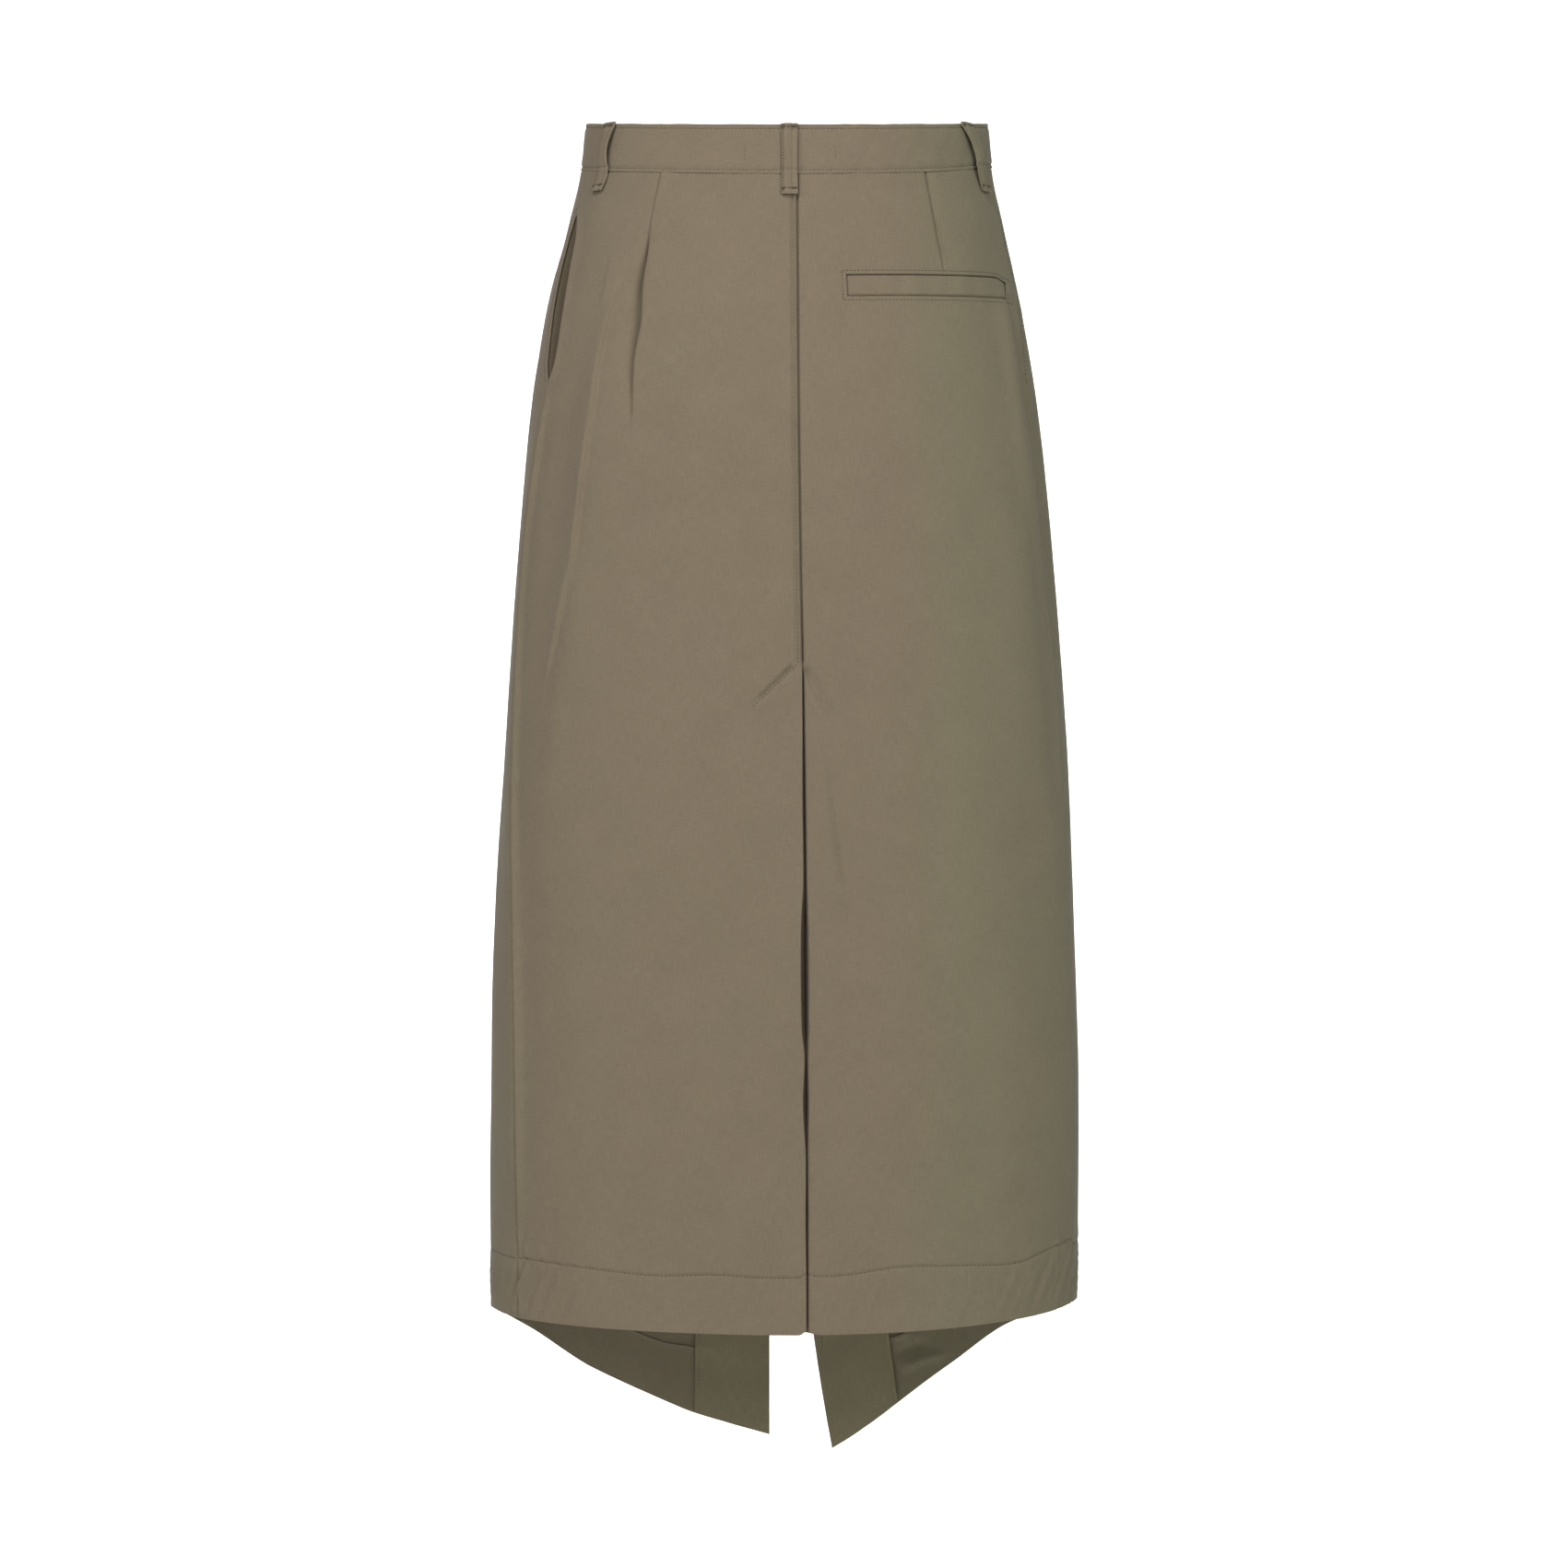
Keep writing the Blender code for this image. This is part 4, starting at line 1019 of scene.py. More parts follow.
# ------------------------------------------------------------------ facings
def make_slit_facing(word, side, materials):
    part = spread(0.055, 0.0024)[None, :]
    share = 1 - 0.002 - part * (SLIT_FACING[side] - 0.002)
    height = blend(SLIT_TOP + 0.012, hem_at(side, True, share) + 0.0008, spread(0.36, 0.0034)[:, None])
    bearing = panel_bearing(side, True, share, height)
    face, _, _, from_centre, above_hem, turn = panel_face(side, True, bearing, height)
    outer = face - CLOTH - 0.0007 * ease((turn + 0.030 - above_hem) / 0.029) - 0.0001
    from_edge = (1 - part) * SLIT_FACING[side] * FACING_RUN
    turned = rounded(from_edge)
    thick = FACING_CLOTH + 0.0006 * ease(1 - from_edge / 0.009)
    thick = thick + 0.0003 * wander(height, side, (0.09, 0.5), (0.037, 0.4))
    inner = outer - np.maximum(thick, 0.0005) + turned
    inner += 0.0004 * mound(from_edge - 0.0028, 0.0008) + 0.0003 * mound(from_centre - SLIT_STITCH, 0.0009)
    lifts = (outer - turned * 0.5, inner)
    grain = (from_centre * side, height)
    return make_piece(f"front_{word}_slit_facing", bearing, height, lifts, grain, materials["inside"])


def make_pocket_facing(word, side, materials):
    """What shows inside a hip pocket's mouth, close behind it, in a dark cloth that is painted shade for the shadow
    inside the pocket.
    """
    height = blend(-0.030, -0.188, np.linspace(0, 1, 80))[:, None]
    seam = side_seam(side, height)
    across = np.linspace(-0.013 if side > 0 else -0.004, 0.040, 60)[None, :]
    bearing = seam + side * degrees_for(across, seam, height)
    height = np.broadcast_to(height, bearing.shape)
    back, front = mouth_open(side, height)
    part = (across + back) / np.maximum(back + front, 1e-6)
    hollow = 0.0150 * ease(part / 0.25) * ease((1 - part) / 0.30) * ease((back + front) / 0.014)
    outer = -CLOTH - 0.0003 - hollow
    lifts = (outer, outer - FACING_CLOTH)
    grain = (across * side, height)
    # the pocket cloth's dark colour is painted shade for the shadow inside the pocket's mouth
    return make_piece(f"{word}_hip_pocket_facing", bearing, height, lifts, grain, materials["pocket"])


# ------------------------------------------------------------------ waistband
def band_ends():
    """Bearings of the waistband's upper end, and of its lower end after going right round."""
    front = slit_edge(+1, np.array(0.0))
    return front - 360 - degrees_for(BAND_OVERLAP, front, 0.0), front + degrees_for(BAND_UNDERLAP, front, 0.0)


def band_face(bearing, up):
    """Lift of the waistband's outer face, up being the height over the waist seam."""
    from_end = np.radians(bearing - band_ends()[0]) * FRONT_RADIUS
    lap = BAND_LAP_LIFT * ease(1 - (from_end - BAND_UNDERLAP - BAND_OVERLAP) / BAND_LAP_EASE)
    puff = 0.00055 * np.sin(np.pi * np.clip(up / BAND_HEIGHT, 0, 1)) ** 0.6
    under_top, over_seam = up - (BAND_HEIGHT - BAND_STITCH_TOP), up - BAND_STITCH_BOTTOM
    grooves = 0.00065 * mound(under_top, 0.0009) + 0.00090 * mound(over_seam, 0.0009)
    wave = wander(bearing + up * 300, 0.9, (9.7, 0.00010), (5.3, 0.00008), (3.1, 0.00005), (17.0, 0.00012))
    ripple = wander(bearing, 3.1, (1.9, 0.00006), (1.3, 0.00005))
    ripple = ripple * (mound(under_top, 0.003) + mound(over_seam, 0.003))
    return BAND_PROUD + lap + puff + wave + ripple - grooves


def make_waistband(materials):
    start, end = band_ends()
    up = spread(BAND_HEIGHT - 0.0002, 0.0016)[::-1, None] * (BAND_HEIGHT - 0.0002) + 0.0001
    bearing = blend(start, end, np.linspace(0, 1, 372))[None, :] + 0 * up
    height = band_level(bearing, up)
    height = height + wander(bearing, 1.1, (21.0, 0.00007), (8.7, 0.00004)) * ease((up - 0.02) / 0.01)
    outer = band_face(bearing, up)
    edge = np.minimum(up, BAND_HEIGHT - up)
    turned = np.where(up > BAND_HEIGHT / 2, rounded(edge, 0.0011), rounded(edge, 0.0006))
    length = np.radians(bearing - start) * MEAN_RADIUS
    turned = np.maximum(turned, rounded(np.minimum(length, length.max() - length), 0.0008))
    lifts = (outer - turned, outer - BAND_CLOTH + turned)
    return make_piece("waistband", bearing, height, lifts, (up, length), materials["cloth"])


# ------------------------------------------------------------------ belt loops
def loop_place(loop, part, down):
    """Bearing, height and lift of the middle of a loop's cloth: part is -1 to 1 across and down 0 to 1."""
    at_top = np.array(loop.bearing_top)
    top, bottom = band_level(at_top, BAND_HEIGHT) + loop.over, waist_seam(at_top) - loop.below
    height = blend(top, bottom, down)
    centre = blend(loop.bearing_top, loop.bearing_bottom, down)
    shift = np.sign(loop.bearing_top) * loop.sway * np.sin(2 * np.pi * down - 0.3) * np.sin(np.pi * down)
    narrow = 1 - 0.07 * np.sin(np.pi * down) ** 2
    bearing = centre + degrees_for(part * LOOP_WIDTH / 2 * narrow + shift, centre, height)
    up = height - waist_seam(bearing)
    on_band, on_panel = band_face(bearing, np.minimum(up, BAND_HEIGHT)), blend(BAND_PROUD, 0.0003, ease(-up / 0.003))
    slack = np.sin(np.pi * np.clip(down / (2 * loop.peak), 0, 1)) ** 0.9 * (loop.slack - part * loop.twist)
    fold = 0.0005 * (ease(1 - down / 0.10) + ease(1 - (1 - down) / 0.14))
    return bearing, height, np.where(up > 0, on_band, on_panel) + LOOP_CLOTH / 2 + 0.0001 + fold + slack


def make_belt_loop(name, materials):
    loop = BELT_LOOPS[name]
    part = (spread(LOOP_WIDTH, 0.0005) * 2 - 1)[None, :]
    length = BAND_HEIGHT + loop.over + loop.below
    down = spread(length, 0.0008, 1, 1)[:, None]
    bearing, height, middle = loop_place(loop, part, down)
    half = LOOP_CLOTH / 2 - rounded((1 - np.abs(part)) * LOOP_WIDTH / 2 + 0.00002, 0.0009)
    half = np.maximum(half - rounded(np.minimum(down, 1 - down) * length + 0.00002, 0.0005), 0.00004)
    ribs = sum(0.00045 * mound(part - place, 0.08) for place in LOOP_RIBS)
    rows = sum(0.00100 * mound(part - place, 0.10) for place in LOOP_ROWS)
    lifts = (middle + half + (ribs - rows) * (half > 0.0002), middle - half)
    return make_piece(name, bearing, height, lifts, (part * LOOP_WIDTH / 2, down * length), materials["cloth"])


# ------------------------------------------------------------------ back pocket
def window_place(share, up):
    """Bearing and height of a place in the pocket's window, and the lift of the panel's face there."""
    height = window_level(share, up)
    bearing = panel_bearing(-1, False, share, height)
    return bearing, height, panel_face(-1, False, bearing, height)[0] + dart_at(-1, bearing, height)


def make_welt(materials):
    """A folded strip that fills the window up to a narrow opening at its top, and the pocket's back behind it."""
    share = blend(0.030, 0.805, spread(0.167, 0.0014, 0, 0))[None, :]
    front = WELT_WIDTH / 2 - 0.0007 - spread(WELT_WIDTH + 0.002, 0.0009) * (WELT_WIDTH + 0.002)
    turn = np.radians(np.linspace(0, 180, 9)[1:-1])
    back = np.linspace(front[-1], WELT_WIDTH / 2 + 0.005, 14)
    up = np.concatenate([front, front[-1] - 0.0006 * np.sin(turn), back])[:, None]
    behind = np.concatenate([0 * front, (1 - np.cos(turn)) / 2, 0 * back + 1])[:, None]
    bearing, height, face = window_place(share, up)
    from_sides = window_depth(share, height)[1]
    outer_end, inner_end = window_ends(height)
    from_end = BACK_WIDTH * np.minimum(share - outer_end, inner_end - share)
    stand = ease((from_sides - 0.0002) / 0.0006) * ease((from_end - 0.0006) / 0.0005)
    stand = stand * (1 + wander(share * WINDOW_RUN, 0.4, (0.017, 0.10), (0.029, 0.10)))
    outer = face - blend(CLOTH + 0.0014, 0.0002, stand) * (1 - behind) - 0.0030 * behind
    turned = np.where(behind == 0, rounded(WELT_WIDTH / 2 - 0.0007 - up), 0)
    lifts = (outer - turned, outer - blend(0.0011, -0.0007, behind) + turned)
    return make_piece("back_pocket_welt", bearing, height, lifts, (up, share * WINDOW_RUN), materials["cloth"])


# ------------------------------------------------------------------ button
def make_button(materials):
    """A turned disc with a raised rim and four holes, flat on the waistband's upper end."""
    rim = np.array([5.2, 6.0, 6.6, 6.9, 7.2, 7.8, 8.1, 8.4, 8.5]) * 1e-3
    rings = np.concatenate([np.linspace(0.0004, 0.0044, 21), rim])
    turn = 2 * np.pi * np.arange(96) / 96
    top = 0.0030 - 0.0008 * ease((0.0072 - rings) / 0.0008) - rounded(BUTTON_RADIUS - rings, 0.0005)
    top = top[:, None] + 0 * turn
    x, y = rings[:, None] * np.cos(turn), rings[:, None] * np.sin(turn)
    for angle in np.radians([45, 135, 225, 315]):
        apart = np.hypot(x - 0.0023 * np.cos(angle), y - 0.0023 * np.sin(angle))
        top -= 0.0015 * ease((0.00105 - apart) / 0.0003)
    face = np.stack([x, y, top], -1)
    low = np.stack([x[-1], y[-1], 0 * x[-1] + 0.0005], -1)[None]
    base = np.stack([x[-1] * 0.94, y[-1] * 0.94, 0 * x[-1]], -1)[None]
    grid = np.concatenate([face, low, base])
    rows, columns = grid.shape[:2]
    verts = np.concatenate([grid.reshape(-1, 3), [[0, 0, top[0, 0]], [0, 0, 0.0]]])
    ring = np.arange(columns)
    nxt = (ring + 1) % columns
    quads = [np.stack([ring, columns + ring, columns + nxt, nxt], -1) + k * columns for k in range(rows - 1)]
    last = (rows - 1) * columns
    caps = [np.stack([0 * ring + rows * columns + end, *pair], -1)
            for end, pair in enumerate(((ring, nxt), (last + nxt, last + ring)))]
    front, start = bearing_at(np.array(CENTRE_FRONT + BUTTON_OFFSET), 0.0, front=True), band_ends()[0]
    lift = band_face((front - start) % 360 + start, np.array(BAND_TOP)) + 0.0003
    centre, out = facing_line(front, np.array(0.0), lift)
    right = unit(np.cross([0, 0, 1.0], out))
    up = np.cross(out, right)

    def placed(points):
        return centre + points[..., :1] * right + points[..., 1:2] * up + points[..., 2:] * out

    faces = [np.concatenate(quads), np.concatenate(caps)]
    made = mesh_object("waistband_button_turned", placed(verts), faces, materials["button"])
    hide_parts("waistband_button")
    thread = Sewing()
    for across in (-0.0002, 0.0002, -0.0005, 0.0005):
        for row in (-1, 1):
            spot = placed(np.array([[0.0, row * 0.00163 + across, 0.0023]]))
            thread.bars(spot, right[None], out[None], np.array([0.0036]), FINE_THREAD)
    thread.finish("button_thread", materials["thread"])


# ------------------------------------------------------------------ the garment's stitching
def down_panel(side, is_front, out, height):
    """Bearings of a line down a panel, that far along the cloth from its centre."""
    towards = -side if is_front else side
    centre = panel_ends(side, is_front, height)[1]
    bearing = centre + towards * degrees_for(out, centre, height)
    for _ in range(2):
        bearing = bearing - towards * degrees_for(run_along(centre, bearing, height) - out, bearing, height)
    return bearing


def on_face(side, is_front, bearing, height):
    """A line on a panel's outer face, and the panel's thickness there."""
    face, _, _, _, above_hem, turn = panel_face(side, is_front, bearing, height)
    return (bearing, height, face), panel_wall(is_front, above_hem, turn)


def sew_centre_back(back):
    height = np.linspace(waist_seam(np.array(0.0)) - 0.0012, VENT_TOP + 0.0006, 240)
    out = np.full(height.shape, TOPSTITCH)
    back.line(*on_face(+1, False, down_panel(+1, False, out, height), height)[0])
    # the slanted row that holds the vent's top
    share = np.linspace(0, 1, 30)
    out, height = blend(0.0028, 0.0330, share), blend(VENT_TOP + 0.0006, -0.3838, share)
    centre = centre_back(height)
    back.line(*on_face(+1, False, centre + degrees_for(out, centre, height), height)[0])


def sew_panel(hem, side, is_front):
    share = np.linspace(0.004, 0.997 if is_front or side > 0 else 0.9995, 240)
    height = hem_at(side, is_front, share) + (hem_turn(side, is_front, share) - 0.0002)
    (bearing, height, face), _ = on_face(side, is_front, panel_bearing(side, is_front, share, height), height)
    hem.line(bearing, height, face)
    hem.line(bearing, height + 0.0004, face - CLOTH - 0.0006, inside=True)
    if not is_front:
        return
    # the slit's edge, outside and inside
    height = np.linspace(SLIT_TOP - 0.001, SLIT_TIP + 0.006 if side < 0 else -0.892, 240)
    out = np.full(height.shape, SLIT_STITCH)
    (bearing, height, face), wall = on_face(side, True, down_panel(side, True, out, height), height)
    hem.line(bearing, height, face)
    hem.line(bearing, height, face - wall - FACING_CLOTH + 0.0002, inside=True)
    # the facing's other edge
    height = np.linspace(SLIT_TOP - 0.001, -0.873 if side < 0 else -0.868, 240)
    share = 1 - SLIT_FACING[side] + 0.0028 / 0.255
    (bearing, height, face), wall = on_face(side, True, panel_bearing(side, True, share, height), height)
    hem.line(bearing, height, face - wall - 0.0003 - FACING_CLOTH - 0.0001, inside=True, thread=FINE_THREAD)
    # the pocket's mouth
    height = np.linspace(POCKET_MOUTH_TOP + 0.002, POCKET_MOUTH_BOTTOM - 0.002, 60)
    start = panel_ends(side, True, height)[0]
    hem.line(*on_face(side, True, start + side * degrees_for(0.005, start, height), height)[0])


def sew_fly(fly):
    curve = FLY_BOTTOM + FLY_CURVE
    height = np.linspace(waist_seam(np.array(180.0)) - 0.001, curve, 240)
    fly.line(*on_face(-1, True, down_panel(-1, True, np.full(height.shape, FLY_WIDTH), height), height)[0])
    angle = np.linspace(0, np.pi / 2 * 0.97, 40)
    height = curve - FLY_CURVE * np.sin(angle)
    centre = panel_ends(-1, True, height)[1]
    fly.line(*on_face(-1, True, centre + degrees_for(FLY_WIDTH * np.cos(angle), centre, height), height)[0])
    height = np.linspace(FLY_BOTTOM - 0.001, FLY_BOTTOM + 0.006, 5)
    centre = panel_ends(-1, True, height)[1]
    fly.satin(*on_face(-1, True, centre + degrees_for(0.0022, centre, height), height)[0], 0.0018)


def sew_band(band):
    start, end = band_ends()
    bearing = np.linspace(start + 0.5, end - 0.5, 900)
    for up in (BAND_HEIGHT - BAND_STITCH_TOP, BAND_STITCH_BOTTOM):
        band.line(bearing, band_level(bearing, up), band_face(bearing, np.full(bearing.shape, up)))
    # the row beside the upper end, and small tacks either side of the centre loop
    tacks = [float(bearing_at(np.array(x), np.array(0.0))) for x in (0.0270, -0.0316)]
    rows = [(start + 1.2, (0.0035, 0.0295, 12), {})]
    rows += [(tack, (0.0185, 0.0085, 8), {"pitch": 0.0024, "thread": 0.0003}) for tack in tacks]
    for turn, ends, kind in rows:
        up = np.linspace(*ends)
        turns = np.full(up.shape, turn)
        band.line(turns, band_level(turns, up), band_face(turns, up), **kind)
    # the buttonhole under the button
    middle = CENTRE_FRONT + BUTTON_OFFSET
    hole = bearing_at(np.linspace(middle - 0.0115, middle + 0.0115, 14), np.zeros(14), front=True)
    hole = (hole - start) % 360 + start
    for row in (-0.0011, 0.0011):
        up = np.full(hole.shape, BAND_TOP + row)
        band.satin(hole, band_level(hole, up), band_face(hole, up) - 0.00005, 0.0017, pitch=0.0005)


def sew_loops(loops):
    for loop in BELT_LOOPS.values():
        down = np.linspace(0.02, 0.97, 40)
        for place in LOOP_ROWS:
            bearing, height, middle = loop_place(loop, np.full(down.shape, place), down)
            loops.line(bearing, height, middle + LOOP_CLOTH / 2 - 0.00085, pitch=0.0022)
        for level in (0.045, 0.915):
            part = np.linspace(-0.9, 0.9, 7)
            bearing, height, middle = loop_place(loop, part, np.full(part.shape, level))
            loops.satin(bearing, height, middle + LOOP_CLOTH / 2, 0.0017)


def sew_pocket(welt):
    """A frame of stitches round the pocket's window."""
    top, bottom, inner, outer = WELT_WIDTH / 2 + 0.0026, -WELT_WIDTH / 2 - 0.0024, 0.806, 0.030
    share = np.linspace(inner, outer, 60)
    lines = [(share, np.full(60, up)) for up in (top, bottom)]
    lines += [(np.full(14, end), np.linspace(bottom, top, 14)) for end in (inner, outer)]
    for share, up in lines:
        welt.line(*window_place(share, up), pitch=0.0025)


def make_stitching(materials):
    jobs = {"centre_back": sew_centre_back}
    for panel, which in PANELS.items():
        jobs[panel.replace("_panel", "")] = lambda hem, which=which: sew_panel(hem, *which)
    jobs |= {"fly": sew_fly, "waistband": sew_band, "belt_loop": sew_loops, "pocket": sew_pocket}
    for name, job in jobs.items():
        sewing = Sewing()
        job(sewing)
        sewing.finish(f"{name}_stitching", materials["thread"])


# ------------------------------------------------------------------ materials
def new_material(name, **values):
    """A material with its Principled inputs, named with _ for a space, and its node tree."""
    material = bpy.data.materials.new(name)
    material.use_nodes = True
    shader = material.node_tree.nodes["Principled BSDF"]
    for key, value in values.items():
        shader.inputs[key.replace("_", " ")].default_value = value
    return material, material.node_tree, shader


def node(tree, kind, inputs=(), **settings):
    """A node whose inputs are each a value or another node's output."""
    made = tree.nodes.new(kind)
    for key, value in settings.items():
        setattr(made, key, value)
    for key, value in dict(inputs).items():
        if isinstance(value, bpy.types.NodeSocket):
            tree.links.new(value, made.inputs[key])
        else:
            made.inputs[key].default_value = value
    return made


def math_node(tree, operation, *values, **settings):
    return node(tree, "ShaderNodeMath", enumerate(values), operation=operation, **settings).outputs[0]


def ranged(tree, value, low, high, to_low, to_high, **settings):
    inputs = {"Value": value, "From Min": low, "From Max": high, "To Min": to_low, "To Max": to_high}
    return node(tree, "ShaderNodeMapRange", inputs, **settings).outputs["Result"]


def noise(tree, place, scale, detail, rough=0.5, distortion=0.0):
    inputs = {"Vector": place, "Scale": scale, "Detail": detail, "Roughness": rough, "Distortion": distortion}
    return node(tree, "ShaderNodeTexNoise", inputs).outputs["Fac"]


def stretched(tree, place, scale):
    return node(tree, "ShaderNodeMapping", {"Vector": place, "Scale": scale}).outputs["Vector"]


def object_place(tree):
    return node(tree, "ShaderNodeTexCoord").outputs["Object"]


def mixed(tree, share, first, second):
    """One colour drifting into another."""
    inputs = {0: share, 6: (*first, 1), 7: (*second, 1)}
    return node(tree, "ShaderNodeMix", inputs, data_type="RGBA").outputs[2]


def cloth_material(name, warm, cool):
    """Plain-dyed cotton: two near colours drifting into each other, slubs both ways, a fine weave, and a reverse side
    brightened as painted light.
    """
    material, tree, shader = new_material(
        name, Roughness=0.95, Specular_IOR_Level=0.18, Sheen_Weight=0.08, Sheen_Roughness=0.5
    )
    flat, place = node(tree, "ShaderNodeAttribute", attribute_name="flat").outputs["Vector"], object_place(tree)
    # warm down the middle and cooler towards the wearer's right and along both sides
    across = node(tree, "ShaderNodeSeparateXYZ", {0: place}).outputs["X"]
    to_right = ranged(tree, across, -0.05, -0.13, 0, 0.95, interpolation_type="SMOOTHSTEP")
    outwards = math_node(tree, "ABSOLUTE", across)
    to_sides = ranged(tree, outwards, 0.155, 0.20, 0, 0.5, interpolation_type="SMOOTHSTEP")
    drift = ranged(tree, noise(tree, place, 9.0, 3.0, 0.6), 0.3, 0.7, -0.2, 0.25)
    cooler = math_node(tree, "ADD", math_node(tree, "MAXIMUM", to_right, to_sides), drift, use_clamp=True)
    # the reverse side is cooler, its own colour, and a little brighter, which is painted light for the light reaching
    # the inside: there the face's normal points to the garment's axis
    flatten = node(tree, "ShaderNodeVectorMath", {0: place, 1: (1, 1, 0)}, operation="MULTIPLY").outputs["Vector"]
    normal = node(tree, "ShaderNodeNewGeometry").outputs["True Normal"]
    outward = node(tree, "ShaderNodeVectorMath", {0: flatten, 1: normal}, operation="DOT_PRODUCT").outputs["Value"]
    reverse = math_node(tree, "LESS_THAN", outward, 0.0)
    cooled = math_node(tree, "MULTIPLY_ADD", reverse, 0.6, cooler, use_clamp=True)
    colour = mixed(tree, cooled, warm, cool)
    # painted light: reverse faces are made 22% brighter
    reverse_painted_light = ranged(tree, reverse, 0, 1, 1.0, 1.22)
    slubs = [noise(tree, stretched(tree, flat, scale), 1.0, 3.0, 0.6) for scale in ((1500, 120, 1), (150, 1700, 1))]
    both = math_node(tree, "ADD", *slubs)
    shade = ranged(tree, both, 0.7, 1.3, 0.90, 1.10)
    mottle = ranged(tree, noise(tree, place, 38.0, 2.0), 0.3, 0.7, 0.975, 1.025)
    tone = math_node(tree, "MULTIPLY", math_node(tree, "MULTIPLY", shade, mottle), reverse_painted_light)
    shaded = node(tree, "ShaderNodeVectorMath", {0: colour, "Scale": tone}, operation="SCALE").outputs["Vector"]
    tree.links.new(shaded, shader.inputs["Base Color"])
    inputs = {"Vector": flat, "Scale": 560.0, "Distortion": 1.5, "Detail Scale": 0.6}
    weave = node(tree, "ShaderNodeTexWave", inputs, wave_type="BANDS", bands_direction="DIAGONAL").outputs["Fac"]
    height = math_node(tree, "MULTIPLY_ADD", weave, 0.35, both)
    bump = node(tree, "ShaderNodeBump", {"Strength": 0.5, "Distance": 0.00022, "Height": height})
    tree.links.new(bump.outputs["Normal"], shader.inputs["Normal"])
    return material


def thread_material(name, colour):
    material, tree, shader = new_material(name, Roughness=0.75, Specular_IOR_Level=0.3)
    fibre = noise(tree, object_place(tree), 900.0, 1.0)
    shades = [[strength * part for part in colour] for strength in (0.8, 1.15)]
    tree.links.new(mixed(tree, fibre, *shades), shader.inputs["Base Color"])
    return material


def horn_material(name):
    material, tree, shader = new_material(name, Roughness=0.32)
    streak = noise(tree, stretched(tree, object_place(tree), (260, 260, 900)), 1.0, 4.0, distortion=0.6)
    dark, light = (0.045, 0.034, 0.022), (0.115, 0.090, 0.060)
    tree.links.new(mixed(tree, streak, dark, light), shader.inputs["Base Color"])
    return material


# ------------------------------------------------------------------ stage, light and camera
def area_light(name, place, aim, size, power):
    data = bpy.data.lights.new(name, "AREA")
    data.shape, data.size, data.energy = "DISK", size, power
    made = bpy.data.objects.new(name, data)
    made.location = place
    made.rotation_euler = (Vector(aim) - Vector(place)).to_track_quat("-Z", "Y").to_euler()
    bpy.context.scene.collection.objects.link(made)


def make_stage():
    """A pale floor that curves up into the backdrop behind the skirt's front."""
    level, near, far, bend = -1.45, 6.0, -4.4, 0.9
    outline = [(near, level)]
    for angle in np.linspace(0, math.pi / 2, 14):
        outline.append((far + bend - bend * math.sin(angle), level + bend - bend * math.cos(angle)))
    outline.append((far, 6.0))
    verts = [(across, along, up) for across in (-9.0, 9.0) for along, up in outline]
    count = len(outline)
    faces = [(i, count + i, count + i + 1, i + 1) for i in range(count - 1)]
    mesh = bpy.data.meshes.new("floor")
    mesh.from_pydata(verts, [], faces)
    mesh.shade_smooth()
    colour = (0.93, 0.93, 0.93, 1)
    mesh.materials.append(new_material("pale floor", Base_Color=colour, Roughness=0.9, Specular_IOR_Level=0.1)[0])
    floor = bpy.data.objects.new("floor", mesh)
    bpy.context.scene.collection.objects.link(floor)


def make_light_and_camera():
    scene = bpy.context.scene
    scene.world = bpy.data.worlds.new("studio")
    scene.world.use_nodes = True
    background = scene.world.node_tree.nodes["Background"]
    background.inputs["Color"].default_value = (1, 1, 1, 1)
    background.inputs["Strength"].default_value = 0.25
    area_light("key", (0.75, 1.9, 1.85), (0, 0, -0.22), 0.6, 35)
    area_light("fill", (-0.9, 2.0, 0.35), (0, 0, -0.30), 1.0, 25)
    area_light("side light", (1.7, 1.5, 0.25), (0, 0, -0.30), 0.8, 13)
    area_light("low fill", (0.1, 2.2, -1.2), (0, 0, -0.85), 0.7, 0.8)
    area_light("front light", (0.3, -1.9, 1.5), (0, 0, -0.35), 0.8, 24)
    for side in (-1, 1):
        area_light("backdrop light", (1.7 * side, -3.3, 0.3), (0.5 * side, -4.5, -0.45), 1.2, 50)
    data = bpy.data.cameras.new("camera")
    data.sensor_width = 36.0
    data.lens = data.sensor_width * PHOTO_SCALE * CAMERA_AWAY / PHOTO_WIDTH
    camera = bpy.data.objects.new("camera", data)
    camera.location = (0.0016, CAMERA_AWAY, -0.4342)
    camera.rotation_euler = (math.radians(90), 0, math.radians(180))
    scene.collection.objects.link(camera)
    scene.camera = camera
    scene.view_settings.view_transform = "Standard"


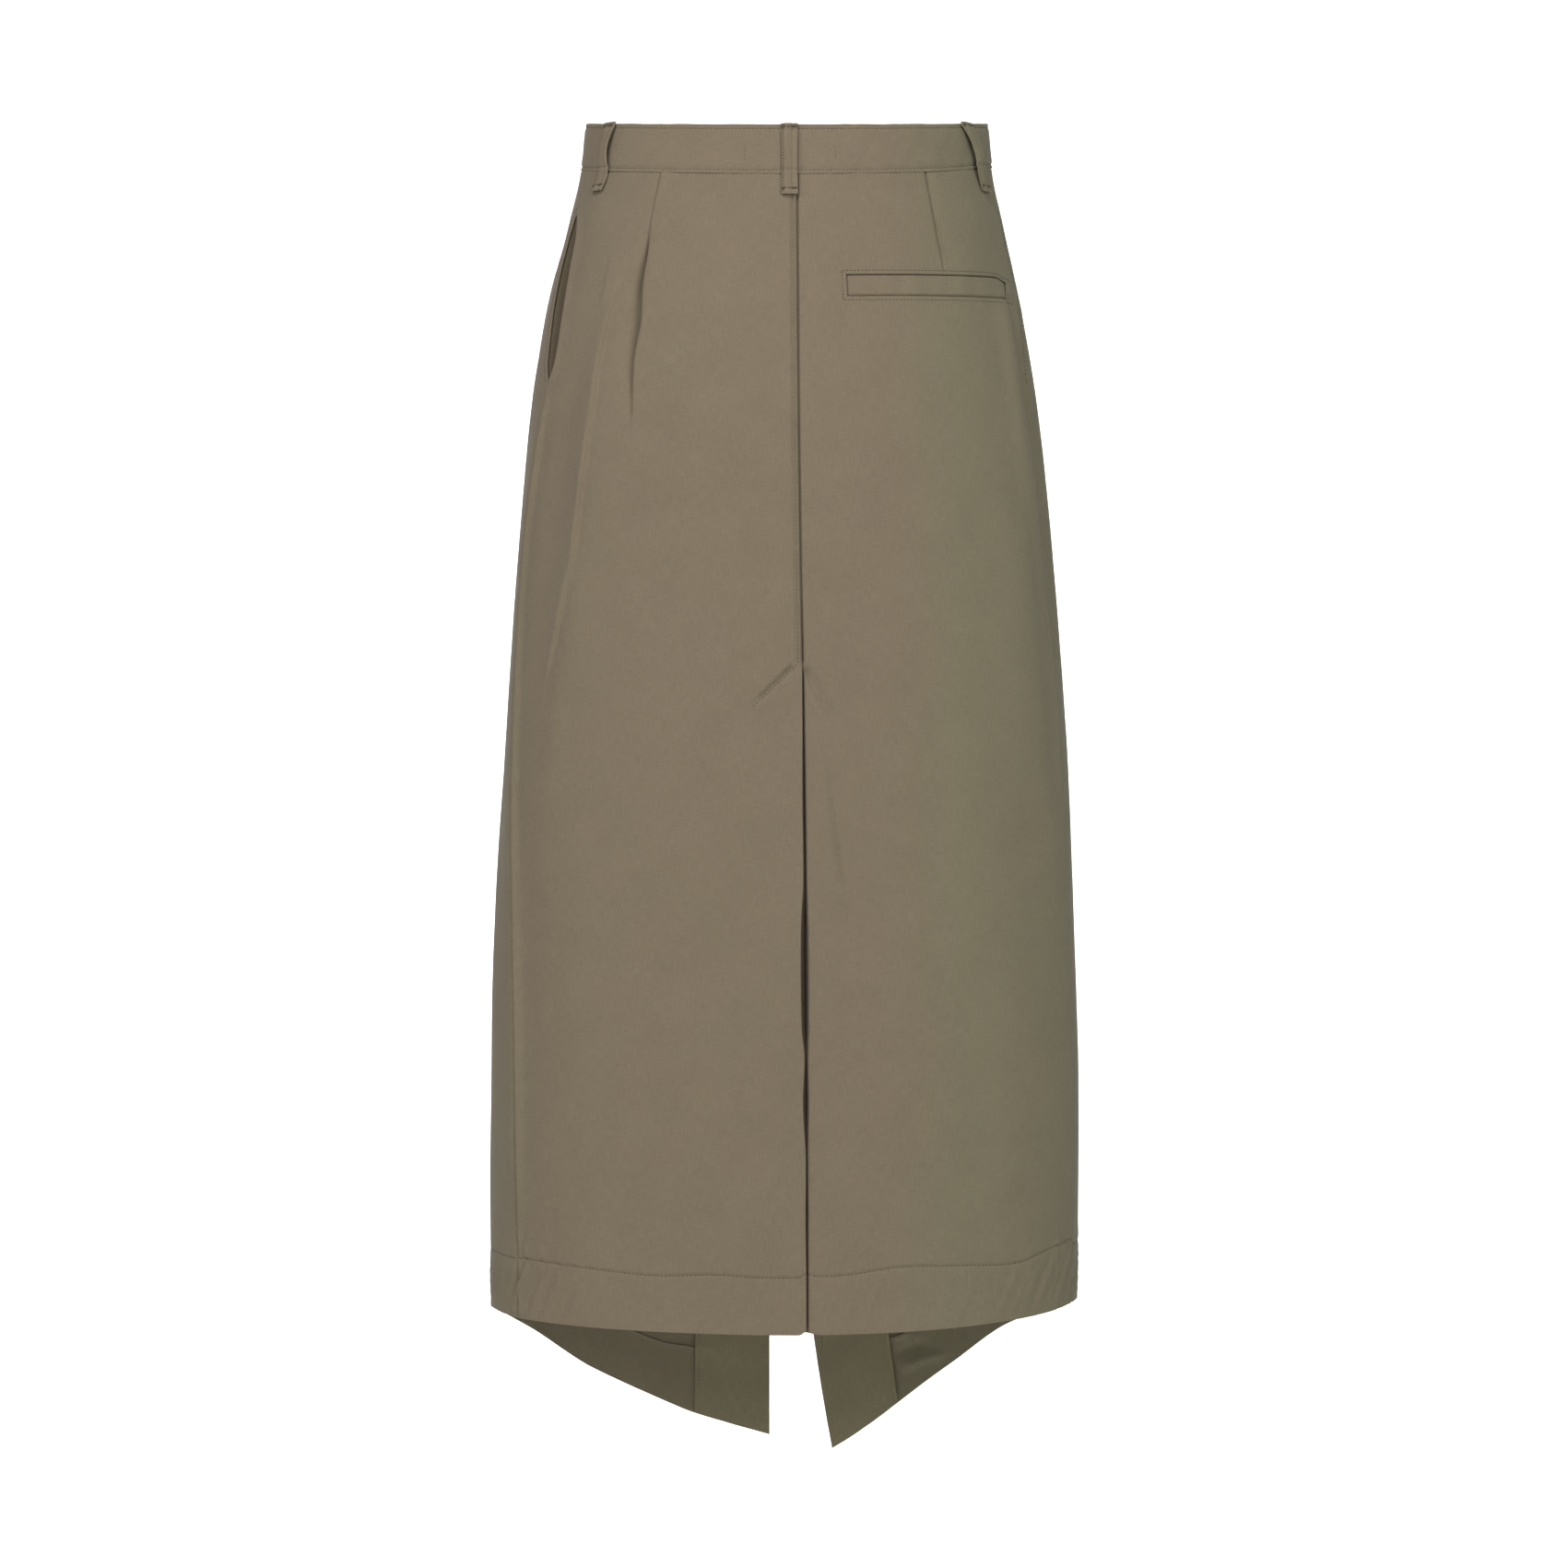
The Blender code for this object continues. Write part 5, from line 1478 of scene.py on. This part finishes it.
# The cut of what shows of each piece, without seam allowances: its width, length and area.
Cut = namedtuple("Cut", "width length area held hangs_from stitching")
CUTS = {
    "back_left_panel": Cut(0.220, 0.784, 0.1586, "hung", "waistband", ("back_left", "centre_back")),
    "back_right_panel": Cut(0.238, 0.784, 0.1656, "hung", "waistband", ("back_right", "pocket")),
    "front_left_panel": Cut(0.336, 0.905, 0.2569, "hung", "waistband", ("front_left",)),
    "front_right_panel": Cut(0.306, 0.905, 0.2315, "hung", "waistband", ("front_right", "fly")),
    "front_left_slit_facing": Cut(0.053, 0.362, 0.0170, "hung", "front_left_panel", ()),
    "front_right_slit_facing": Cut(0.060, 0.362, 0.0177, "hung", "front_right_panel", ()),
    "left_hip_pocket_facing": Cut(0.053, 0.158, 0.0083, "hung", "waistband", ()),
    "right_hip_pocket_facing": Cut(0.044, 0.158, 0.0069, "hung", "waistband", ()),
    "waistband": Cut(0.0326, 0.850, 0.0277, "folded", None, ("waistband", "belt_loop")),
    "back_pocket_welt": Cut(0.0400, 0.167, 0.0066, "folded", "back_right_panel", ()),
}
CUTS |= dict.fromkeys(BELT_LOOPS, Cut(LOOP_WIDTH, 0.0475, 0.00053, "folded", "waistband", ()))


def make_garment():
    materials = {
        "cloth": cloth_material("cotton cloth", (0.178, 0.142, 0.097), (0.169, 0.152, 0.097)),
        # the reverse cloth is a little cooler, its own colour, and brighter, which is painted light for the light
        # reaching the inside
        "inside": cloth_material("cotton cloth reverse with painted light", (0.198, 0.170, 0.108), (0.190, 0.171, 0.104)),
        # the pocket cloth is painted shade: far darker than the garment, for the shadow inside the pocket's mouth
        "pocket": cloth_material("pocket cloth painted dark as shade", (0.112, 0.089, 0.058), (0.112, 0.089, 0.058)),
        # the thread is darker than the cloth, partly its own tonal colour and partly painted shade for the shadows in
        # the stitch holes
        "thread": thread_material("sewing thread with painted shade", (0.095, 0.077, 0.052)),
        "button": horn_material("dark horn"),
    }
    made = {name: make_panel(name, materials) for name in PANELS}
    for side, word in ((+1, "left"), (-1, "right")):
        made[f"front_{word}_slit_facing"] = make_slit_facing(word, side, materials)
        made[f"{word}_hip_pocket_facing"] = make_pocket_facing(word, side, materials)
    made["waistband"] = make_waistband(materials)
    for name in BELT_LOOPS:
        made[name] = make_belt_loop(name, materials)
    made["back_pocket_welt"] = make_welt(materials)
    make_button(materials)
    make_stitching(materials)


make_garment()
make_stage()
make_light_and_camera()
